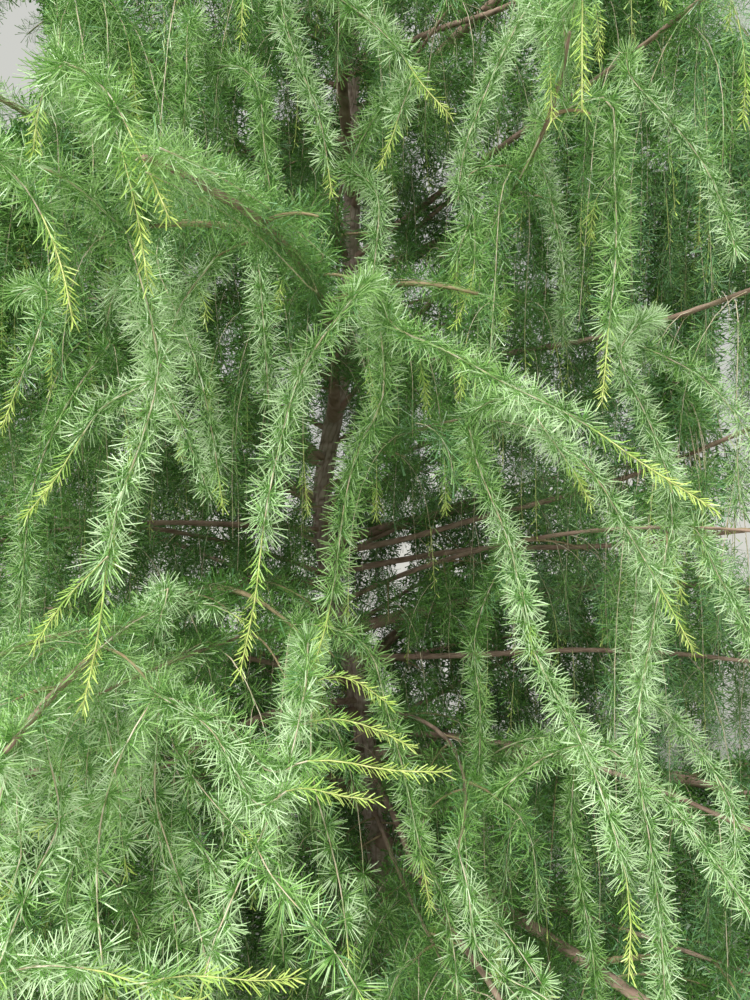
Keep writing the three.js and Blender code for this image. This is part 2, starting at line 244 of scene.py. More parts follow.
def bark_material(name, face, edge, crack, algae, algae_share):
    """Scaly bark, dry and matt: the crack attribute runs from the dark gap to the paler scale, a soft noise
    25 mm across shifts whole areas, green algae lie where a second noise of 60 mm is high, and a fine grain
    of 2.5 mm roughens the face."""
    material, shader = new_material(name)
    place = add_node(material, "ShaderNodeTexCoord").outputs["Object"]
    relief = add_node(material, "ShaderNodeAttribute", attribute_name="crack").outputs["Fac"]
    scales = ramp(material, relief, [(0.0, crack), (0.35, edge), (0.95, face)])
    patch = add_node(material, "ShaderNodeTexNoise", {"Vector": place, "Scale": 1 / 0.025, "Detail": 4.0})
    faded = ramp(material, patch.outputs["Fac"], [(0.3, crack), (0.7, face)])
    worn = add_node(material, "ShaderNodeMix", {"Factor": 0.35, "A": scales, "B": faded}, data_type="RGBA")
    film = add_node(material, "ShaderNodeTexNoise", {"Vector": place, "Scale": 1 / 0.06, "Detail": 3.0})
    where = add_node(material, "ShaderNodeMapRange",
                     {"Value": film.outputs["Fac"], "From Min": 0.45, "From Max": 0.7, "To Max": algae_share})
    colour = add_node(material, "ShaderNodeMix", {"Factor": where.outputs["Result"],
                      "A": worn.outputs["Result"], "B": linear(algae)}, data_type="RGBA")
    material.node_tree.links.new(colour.outputs["Result"], shader.inputs["Base Color"])
    grain = add_node(material, "ShaderNodeTexNoise", {"Vector": place, "Scale": 1 / 0.0025, "Detail": 3.0})
    bump = add_node(material, "ShaderNodeBump", {"Height": grain.outputs["Fac"], "Strength": 0.5,
                    "Distance": 0.0006})
    material.node_tree.links.new(bump.outputs["Normal"], shader.inputs["Normal"])
    shader.inputs["Roughness"].default_value = 0.9
    shader.inputs["Specular IOR Level"].default_value = 0.25
    return material


# Flaking stem bark: dull pinkish grey scales, dark gaps, and a green film here and there.
stem_bark = bark_material("flaking_stem_bark", BARK_FACE, BARK_EDGE, BARK_CRACK, BARK_ALGAE, 0.5)
points, faces, crack = trunk_bark()
trunk = mesh_piece("trunk_bark", points, faces, stem_bark, "bark", {"crack": crack})
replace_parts(trunk, "trunk")

# The boughs
# Each limb is one tapering branch that leaves the trunk rising, sags under its load and swings a little.
# Its bark is rough with the scars of old needle spurs, and it swells into a collar where it joins the trunk.
LOWEST_BOUGH = 0.340
BOUGH_SPACING = 0.105
UPPER_SPACING = 0.152
UPPER_LIMBS = 10
GOLDEN_ANGLE = np.radians(137.5)
UPPER_TURN = np.radians(20)
WIDEST_REACH = 1.4
WIDEST_HEIGHT = 0.75
REACH_APEX = 4.95
REACH_POWER = 0.9
REACH_AT_GROUND, REACH_GAIN = 0.84, 0.16
LEAST_REACH, REACH_MORE = 0.9, 0.16
TREE_TOP = 4.8
BOUGH_AZIMUTHS = [
    95, -140, -62, 160, -28, 224, 60, 2, -108, 15, 128, 178,
    -86, 65, -122, -22, 168, -92, -48, 95, 205, -8, -112, 35,
]
BOUGH_COUNT = len(BOUGH_AZIMUTHS)
LIMB_COUNT = BOUGH_COUNT + UPPER_LIMBS
LIMB_RISE, RISE_WITH_HEIGHT, RISE_POWER = 0.16, 0.74, 1.2
LOW_RISE, LOW_HEIGHT = 0.24, 0.48
LIMB_SAG = 0.24
LIMB_SWAY = 0.36
LIMB_GIRTH, GIRTH_BY_REACH = 4.2 * MM, 0.0062
LIMB_TIP_RADIUS = 2.6 * MM
LIMB_TAPER_POWER = 0.85
LIMB_RINGS = 80
LIMB_SIDES = 11
COLLAR_LENGTH = 0.022
COLLAR_SWELL = 0.45
LUMP_SHARE, LUMP_SIZE = 0.10, 0.017
SCAR_SHARE, SCAR_SIZE = 0.13, 0.011
SCAR_RING = 0.02


def chance(limb, shoot, use):
    """The source's chance for one limb, one shoot and one use."""
    return mixed(0, (limb, shoot, use))


def crown_reach(z):
    """How far the crown reaches at a height: a little less towards the ground, and a falling power above."""
    low = WIDEST_REACH * (REACH_AT_GROUND + REACH_GAIN * z / WIDEST_HEIGHT)
    share = np.clip((REACH_APEX - z) / (REACH_APEX - WIDEST_HEIGHT), 0, 1)
    return np.where(z < WIDEST_HEIGHT, low, WIDEST_REACH * share ** REACH_POWER)


limb_number = np.arange(LIMB_COUNT)
upper_number = limb_number - BOUGH_COUNT
limb_height = np.where(upper_number < 0, LOWEST_BOUGH + BOUGH_SPACING * limb_number,
                       LOWEST_BOUGH + BOUGH_SPACING * BOUGH_COUNT + UPPER_SPACING * (upper_number + 0.3))
limb_azimuth = np.concatenate([np.radians(BOUGH_AZIMUTHS),
                               GOLDEN_ANGLE * np.arange(UPPER_LIMBS) + UPPER_TURN])
limb_reach = crown_reach(limb_height) * (LEAST_REACH + REACH_MORE * chance(limb_number, 0, 1))
limb_rise = (LIMB_RISE + RISE_WITH_HEIGHT * (limb_height / TREE_TOP) ** RISE_POWER
             + LOW_RISE * np.exp(-(limb_height / LOW_HEIGHT) ** 2))
limb_sway = LIMB_SWAY * (chance(limb_number, 0, 2) - 0.5)
limb_girth = LIMB_GIRTH + GIRTH_BY_REACH * limb_reach
limb_tip = np.full(LIMB_COUNT, LIMB_TIP_RADIUS)

# Thin limbs stand between the boughs, at the golden angle from one to the next, and reach less far. The size
# of a limb is the share of full size that its shoots have.
THIN_LIMBS = 112
THIN_LIMB_RINGS = 30
THIN_LIMB_SIDES = 5
THIN_LOWEST, THIN_HIGHEST, THIN_SPACING_POWER = 0.30, 4.40, 1.15
THIN_TURN = 1.1
THIN_RISE, THIN_RISE_WITH_HEIGHT = 0.24, 0.6
THIN_GIRTH, THIN_GIRTH_BY_REACH = 1.2 * MM, 0.0038
THIN_TIP_RADIUS = 1.6 * MM
FULL_SIZE_REACH, SIZE_POWER = 1.1, 0.55
dice = np.random.default_rng(7)
thin_rank = np.linspace(0, 1, THIN_LIMBS) ** THIN_SPACING_POWER
thin_height = THIN_LOWEST + (THIN_HIGHEST - THIN_LOWEST) * thin_rank
thin_reach = crown_reach(thin_height) * dice.uniform(0.55, 0.98, THIN_LIMBS)
thin_rise = THIN_RISE + THIN_RISE_WITH_HEIGHT * (thin_height / TREE_TOP) ** RISE_POWER
thin_rise = thin_rise + dice.uniform(0, 0.2, THIN_LIMBS)
limb_height = np.concatenate([limb_height, thin_height])
limb_azimuth = np.concatenate([limb_azimuth, GOLDEN_ANGLE * np.arange(THIN_LIMBS) + THIN_TURN])
limb_reach = np.concatenate([limb_reach, thin_reach])
limb_rise = np.concatenate([limb_rise, thin_rise])
limb_sway = np.concatenate([limb_sway, dice.uniform(-0.3, 0.3, THIN_LIMBS)])
limb_girth = np.concatenate([limb_girth, THIN_GIRTH + THIN_GIRTH_BY_REACH * thin_reach])
limb_tip = np.concatenate([limb_tip, np.full(THIN_LIMBS, THIN_TIP_RADIUS)])
limb_size = np.clip((limb_reach / FULL_SIZE_REACH) ** SIZE_POWER, 0.5, 1)
limb_number = np.arange(LIMB_COUNT + THIN_LIMBS)
is_thin = limb_number >= LIMB_COUNT


def limb_point(limb, t):
    """A point of a limb's centre line at a share of its reach: outwards with a swing that grows with the
    square of the share, and up by its rise less a sag that grows with the square too."""
    turn = limb_azimuth[limb] + limb_sway[limb] * t * t
    out = limb_reach[limb] * t
    climb = limb_reach[limb] * (limb_rise[limb] * t - LIMB_SAG * t * t)
    away = np.stack([out * np.cos(turn), out * np.sin(turn), climb], axis=-1)
    return trunk_centre(limb_height[limb]) + away


def limb_radius(limb, t):
    """A limb's radius at a share of its reach: a falling power on top of the radius of its tip."""
    return limb_tip[limb] + limb_girth[limb] * (1 - t) ** LIMB_TAPER_POWER


def unit(vectors):
    """Vectors cut to a length of one."""
    return vectors / np.maximum(np.linalg.norm(vectors, axis=-1, keepdims=True), 1e-9)


def tubes(lines, radii, sides):
    """Closed tapering tubes, one for each line of points: at each point a ring of that radius, square to the
    line, and a flat fan of triangles over each end. It gives points and triangles."""
    count, rings = lines.shape[:2]
    along = unit(np.gradient(lines, axis=1))
    steady = np.where(np.abs(along[:, :1, 2:]) > 0.85, [[[0.0, 1.0, 0.0]]], UP)
    side = unit(np.cross(along, steady))
    top = np.cross(side, along)
    angle = np.linspace(0, 2 * np.pi, sides, endpoint=False)
    ring = np.cos(angle)[:, None] * side[:, :, None] + np.sin(angle)[:, None] * top[:, :, None]
    points = lines[:, :, None] + ring * radii[..., None]
    faces = ring_quads(rings, sides)
    faces = np.concatenate([faces[:, [0, 2, 1]], faces[:, [0, 3, 2]]])
    corner = np.arange(1, sides - 1)
    foot = np.stack([np.zeros_like(corner), corner, corner + 1], axis=-1)
    last = (rings - 1) * sides
    tip = np.stack([np.full_like(corner, last), last + corner + 1, last + corner], axis=-1)
    faces = np.concatenate([faces, foot, tip])
    faces = faces[None] + (np.arange(count) * rings * sides)[:, None, None]
    return points.reshape(-1, 3), faces.reshape(-1, 3)


def bough_surface(limbs, rings, sides):
    """Tubes along limbs. The radius swells by a bell curve at the collar, by lumps of 17 mm along the limb,
    and by lumps of 11 mm that also change round it, which are the spur scars and the crack value."""
    share = np.linspace(0, 1, rings)
    lines = limb_point(limbs[:, None], share[None, :])
    radii = limb_radius(limbs[:, None], share[None, :])
    run = limb_reach[limbs][:, None] * share
    collar = np.exp(-((run - TRUNK_RADIUS) / COLLAR_LENGTH) ** 2)
    radii = radii + COLLAR_SWELL * limb_girth[limbs][:, None] * collar
    radii = radii * (1 + LUMP_SHARE * lumps(lines, LUMP_SIZE, 31))
    angle = np.linspace(0, 2 * np.pi, sides, endpoint=False)
    run, angle, number = np.broadcast_arrays(run[:, :, None], angle, limbs[:, None, None])
    round_limb = np.stack([run, SCAR_RING * np.cos(angle) + number, SCAR_RING * np.sin(angle)], axis=-1)
    rough = lumps(round_limb, SCAR_SIZE, 33)
    points, faces = tubes(lines, radii[:, :, None] * (1 + SCAR_SHARE * rough), sides)
    return points, faces, np.clip(0.5 + 0.6 * rough, 0, 1)


# Rough bough bark: dull pinkish brown, darker between the spur scars, with a little green film.
bough_bark = bark_material("rough_bough_bark", "#c6ab99", "#9d8271", "#4f3d33", "#7a8160", 0.3)
points, faces, crack = bough_surface(np.flatnonzero(~is_thin), LIMB_RINGS, LIMB_SIDES)
boughs = mesh_piece("bough_bark", points, faces, bough_bark, "bark", {"crack": crack})
points, faces, crack = bough_surface(np.flatnonzero(is_thin), THIN_LIMB_RINGS, THIN_LIMB_SIDES)
mesh_piece("thin_bough_bark", points, faces, bough_bark, "bark", {"crack": crack})
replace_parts(boughs, *[f"bough_{i + 1:02d}" for i in range(BOUGH_COUNT)])

# The boughs that show
# In some gaps of the foliage stout boughs show, with rough pinkish brown bark. They leave the trunk like the
# rest, and their places follow the photograph: pixel across, pixel down and distance in metres.
CAMERA_PLACE = np.array([-0.040, -1.750, 1.500])
CAMERA_PITCH = np.radians(-3.2)
FOCAL_PIXELS = 722.0
PHOTO_WIDTH, PHOTO_HEIGHT = 750, 1000
VIEW_AHEAD = np.array([0, np.cos(CAMERA_PITCH), np.sin(CAMERA_PITCH)])
VIEW_UP = np.array([0, -np.sin(CAMERA_PITCH), np.cos(CAMERA_PITCH)])
LIMBS_IN_VIEW = {
    "top_middle": [(362, 85, 1.74), (425, 35, 1.50), (510, 5, 1.25), (580, -40, 1.05)],
    "upper_right": [(356, 262, 1.74), (420, 208, 1.60), (490, 155, 1.42), (570, 98, 1.25), (650, 40, 1.08),
                    (715, -12, 0.96)],
    "right_high": [(344, 372, 1.74), (430, 362, 1.56), (530, 350, 1.40), (630, 330, 1.24), (750, 290, 1.06),
                   (820, 262, 0.97)],
    "right_middle_upper": [(338, 556, 1.74), (400, 540, 1.64), (480, 518, 1.50), (600, 486, 1.34),
                           (735, 435, 1.16), (810, 400, 1.06)],
    "right_middle": [(342, 576, 1.74), (470, 550, 1.62), (615, 545, 1.48), (750, 530, 1.36),
                     (860, 520, 1.26)],
    "right_low": [(350, 664, 1.74), (470, 655, 1.62), (590, 650, 1.50), (700, 656, 1.38), (800, 668, 1.28)],
    "low_right": [(374, 742, 1.74), (470, 738, 1.58), (620, 775, 1.30), (750, 830, 1.08), (820, 865, 0.98)],
    "low_right_front": [(376, 782, 1.72), (392, 812, 1.58), (425, 890, 1.24), (500, 1000, 0.92),
                        (530, 1050, 0.83)],
    "low_left_front": [(350, 708, 1.74), (280, 710, 1.46), (215, 738, 1.24), (150, 775, 1.06),
                       (90, 815, 0.93)],
    "left_low": [(346, 690, 1.74), (300, 670, 1.62), (235, 655, 1.48), (170, 643, 1.36), (80, 640, 1.20)],
    "left_middle": [(326, 532, 1.74), (245, 525, 1.58), (155, 523, 1.42), (60, 530, 1.26), (-20, 545, 1.14)],
    "left_high": [(342, 322, 1.74), (240, 300, 1.58), (100, 300, 1.36), (0, 304, 1.22), (-70, 315, 1.14)],
}
SHOWN_ROOT_RADIUS = 8.5 * MM
SHOWN_TIP_RADIUS = 3.2 * MM
SHOWN_TAPER_POWER = 0.8
SHOWN_STEPS = 33
SHOWN_RINGS = 90
SHOWN_SIDES = 10
SHOWN_LUMPS, SHOWN_LUMP_SIZE, SHOWN_SCARS = 0.14, 0.014, 0.15


def seen(points):
    """Where points stand in the photograph: pixel across, pixel down and distance along the line of sight."""
    away = points - CAMERA_PLACE
    depth = away @ VIEW_AHEAD
    safe = np.where(np.abs(depth) < 1e-3, 1e-3, depth)
    across = PHOTO_WIDTH / 2 + FOCAL_PIXELS * away[..., 0] / safe
    down = PHOTO_HEIGHT / 2 - FOCAL_PIXELS * (away @ VIEW_UP) / safe
    return across, down, depth


def unseen(across, down, depth):
    """The point in space that a pixel shows at a distance along the line of sight."""
    right = np.array([1.0, 0.0, 0.0])
    sideways = (across - PHOTO_WIDTH / 2)[:, None] * right
    upwards = (PHOTO_HEIGHT / 2 - down)[:, None] * VIEW_UP
    return CAMERA_PLACE + depth[:, None] * (VIEW_AHEAD + (sideways + upwards) / FOCAL_PIXELS)


def smooth_line(knots, steps):
    """A curve through knots: between two of them a cubic whose slopes at its ends follow their neighbours."""
    run = np.concatenate([[0], np.cumsum(np.linalg.norm(np.diff(knots, axis=0), axis=1))])
    slope = np.gradient(knots, run, axis=0)
    at = np.linspace(0, run[-1], steps)
    i = np.clip(np.searchsorted(run, at, side="right") - 1, 0, len(knots) - 2)
    gap = (run[i + 1] - run[i])[:, None]
    s = (at - run[i])[:, None] / gap
    return ((1 + 2 * s) * (1 - s) ** 2 * knots[i] + s * (1 - s) ** 2 * gap * slope[i]
            + s ** 2 * (3 - 2 * s) * knots[i + 1] + s ** 2 * (s - 1) * gap * slope[i + 1])


def lengths(lines):
    """The length of each line of points."""
    return np.linalg.norm(np.diff(lines, axis=1), axis=-1).sum(axis=1)


shown_lines = []
for places in LIMBS_IN_VIEW.values():
    knots = unseen(*np.array(places, dtype=float).T)
    knots[0] = trunk_centre(knots[0, 2])
    shown_lines.append(smooth_line(knots, SHOWN_STEPS))
shown_lines = np.stack(shown_lines)
shown_fine = np.stack([smooth_line(line, SHOWN_RINGS) for line in shown_lines])
taper = np.linspace(0, 1, SHOWN_RINGS) ** SHOWN_TAPER_POWER
radii = SHOWN_ROOT_RADIUS + (SHOWN_TIP_RADIUS - SHOWN_ROOT_RADIUS) * taper[None, :]
radii = radii * (1 + SHOWN_LUMPS * lumps(shown_fine, SHOWN_LUMP_SIZE, 35))
angle = np.linspace(0, 2 * np.pi, SHOWN_SIDES, endpoint=False)
ring = SCAR_RING * np.stack([np.cos(angle), np.sin(angle), 0 * angle], axis=-1)
rough = lumps(shown_fine[:, :, None] + ring, SCAR_SIZE, 37)
points, faces = tubes(shown_fine, radii[..., None] * (1 + SHOWN_SCARS * rough), SHOWN_SIDES)
crack = np.clip(0.55 + 0.6 * rough, 0, 1)
mesh_piece("shown_bough_bark", points, faces, bough_bark, "bark", {"crack": crack})

# The leader
# Above the topmost boughs the stem runs on as a thin leading shoot, ringed by short rising side shoots, and
# ends in this year's growth.
LEADER_LENGTH = 0.30
LEADER_RADIUS = 3.4 * MM
LEADER_STEPS = 33
LEADER_SIDES = 8
LEADER_BEND = np.array([0.026, -0.014])
FINE_CRACK = 0.009


def fine_cracks(points, seed):
    """The crack value of thin bark: mostly face, with soft darker marks 9 mm across."""
    return {"crack": np.clip(0.6 + 0.4 * lumps(points, FINE_CRACK, seed), 0, 1)}


share = np.linspace(0, 1, LEADER_STEPS)
leader = trunk_centre(TRUNK_TOP) + np.stack([LEADER_BEND[0] * share ** 2, LEADER_BEND[1] * share,
                                             LEADER_LENGTH * share], axis=-1)
points, faces = tubes(leader[None], ((1.15 - share) * LEADER_RADIUS)[None, :, None], LEADER_SIDES)
leader_stem = mesh_piece("leader_bark", points, faces, bough_bark, "bark", fine_cracks(points, 45))
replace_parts(leader_stem, "foliage_leader")

# The side twigs
# Woody side branches fork from the boughs right and left in turn, lie nearly level and thin out quickly.
# The strongest stand where the source puts them, and finer ones fill the room between, down to the trunk.
FOLIAGE_FROM = 0.42
SIDE_TWIG_EVERY = 0.48
SIDE_TWIG_FORK, FORK_SPREAD = 44, 14
SIDE_TWIG_SHARE, SHORTENING = 0.42, 1.12
SIDE_TWIG_GIRTH = 0.55
SIDE_TWIG_TIP = 2 * MM
SIDE_TWIG_RISE, SIDE_TWIG_DROOP = 0.2, 0.3
FINE_TWIG_EVERY = 0.105
FINE_TWIG_FROM, FINE_TWIG_ROOM = 0.10, 0.86
FINE_TWIG_RADIUS = 2.3 * MM
FINE_TWIG_TIP = 1.1 * MM
TWIG_STEPS = 9
TWIG_SIDES = 4
TWIG_LUMPS, TWIG_LUMP_SIZE = 0.12, 0.012


def repeated(counts):
    """The owner of each thing and its number with that owner, for so many things each."""
    owner = np.repeat(np.arange(len(counts)), counts)
    return owner, np.arange(len(owner)) - np.repeat(np.cumsum(counts) - counts, counts)


def turned(direction, angle):
    """Level directions turned round the vertical by an angle."""
    across = np.cross(UP, direction)
    return np.cos(angle)[..., None] * direction + np.sin(angle)[..., None] * across


def level(vectors):
    """Directions with their height taken out."""
    return unit(vectors * [1.0, 1.0, 0.0])


def alternate(number):
    """1 for even numbers and -1 for odd ones."""
    return np.where(number % 2, -1.0, 1.0)


limb_from = np.where(upper_number < 0, FOLIAGE_FROM, 0.0)
strong_each = np.round(limb_reach[:LIMB_COUNT] / SIDE_TWIG_EVERY).astype(int)
strong_limb, strong_number = repeated(strong_each)
strong_count = strong_each[strong_limb]
strong_from = limb_from[strong_limb]
strong_share = strong_from + 0.05 + (0.9 - strong_from) * (strong_number + 0.2) / strong_count
strong_fork = SIDE_TWIG_FORK + FORK_SPREAD * chance(strong_limb, strong_number, 7)
strong_fork = np.radians(strong_fork) * alternate(strong_number)
strong_length = SIDE_TWIG_SHARE * limb_reach[strong_limb] * (SHORTENING - strong_share)

fine_each = (FINE_TWIG_ROOM * limb_reach / FINE_TWIG_EVERY).astype(int)
fine_limb, fine_number = repeated(fine_each)
fine_total = len(fine_limb)
fine_share = FINE_TWIG_ROOM * (fine_number + dice.random(fine_total)) / fine_each[fine_limb]
fine_share = FINE_TWIG_FROM + fine_share
fine_fork = np.radians(dice.uniform(38, 78, fine_total)) * -alternate(fine_number)
fine_length = limb_reach[fine_limb] * (SHORTENING - fine_share) * dice.uniform(0.10, 0.30, fine_total)

side_limb = np.concatenate([strong_limb, fine_limb])
side_share = np.concatenate([strong_share, fine_share])
side_fork = np.concatenate([strong_fork, fine_fork])
side_length = np.concatenate([strong_length, fine_length])
side_girth = np.concatenate([SIDE_TWIG_GIRTH * limb_radius(strong_limb, strong_share),
                             dice.uniform(0.5, 1.0, fine_total) * FINE_TWIG_RADIUS])
side_tip = np.repeat([SIDE_TWIG_TIP, FINE_TWIG_TIP], [len(strong_limb), fine_total])
side_droop = np.concatenate([np.full(len(strong_limb), SIDE_TWIG_DROOP), dice.uniform(0.25, 0.6, fine_total)])


def side_twig_lines(steps):
    """Lines out from the limb at the fork's angle, up by a fifth of the length and down by the square."""
    share = np.linspace(0, 1, steps)[None, :, None]
    root = limb_point(side_limb, side_share)
    ahead = limb_point(side_limb, side_share + 0.004) - limb_point(side_limb, side_share - 0.004)
    out = turned(level(ahead), side_fork)[:, None]
    length = side_length[:, None, None]
    climb = SIDE_TWIG_RISE * share - side_droop[:, None, None] * share ** 2
    return root[:, None] + out * length * share + UP * length * climb


side_lines = side_twig_lines(TWIG_STEPS)
taper = 1 - np.linspace(0, 1, TWIG_STEPS)
radii = side_girth[:, None] * taper + side_tip[:, None]
radii = radii * (1 + TWIG_LUMPS * lumps(side_lines, TWIG_LUMP_SIZE, 41))
points, faces = tubes(side_lines, radii[..., None], TWIG_SIDES)

# Smooth twig bark: dull straw brown with faint darker marks.
twig_bark = bark_material("smooth_twig_bark", "#b9a684", "#94825f", "#5a4c38", "#83865f", 0.2)
side_twigs = mesh_piece("side_twig_bark", points, faces, twig_bark, "bark", fine_cracks(points, 43))
foliage_nodes = [f"foliage_{i + 1:02d}" for i in range(LIMB_COUNT)] + ["foliage_leader"]
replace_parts(side_twigs, *foliage_nodes)

# The hanging shoots
# From the boughs and side twigs thin straw coloured shoots arch over and hang down in loose curtains. They
# are last years' growth, as thick as a matchstick, with small spurs all round them.
CARRIER_STEPS, CARRIER_FROM = SHOWN_STEPS, 0.05
SHOOT_EVERY, SHOOT_WOBBLE = 0.047, 0.6
BARE_LIMB_SHARE, BARE_TWIG = 0.18, 0.03
SHOOT_STEPS = 17
SHOOT_FORK, SHOOT_FORK_MORE = 42, 26
SHOOT_SPREAD, SPREAD_MORE = 0.095, 0.115
SHOOT_HANG, HANG_MORE = 0.26, 0.30
SHOOT_LIFT, END_LIFT, LATERAL_LIFT = 0.016, 0.01, 0.004
SHOOT_WAVE, WAVES_OF_A_SHOOT = 0.007, 0.9
SHOOT_ROOT_RADIUS = 1.15 * MM
SHOOT_TIP_RADIUS = 0.6 * MM
GROUND_CLEARANCE = 0.07
SHORT_SHARE = 0.2
LATERAL_SHARE = 0.34
SHORTEST_PARENT = 0.16

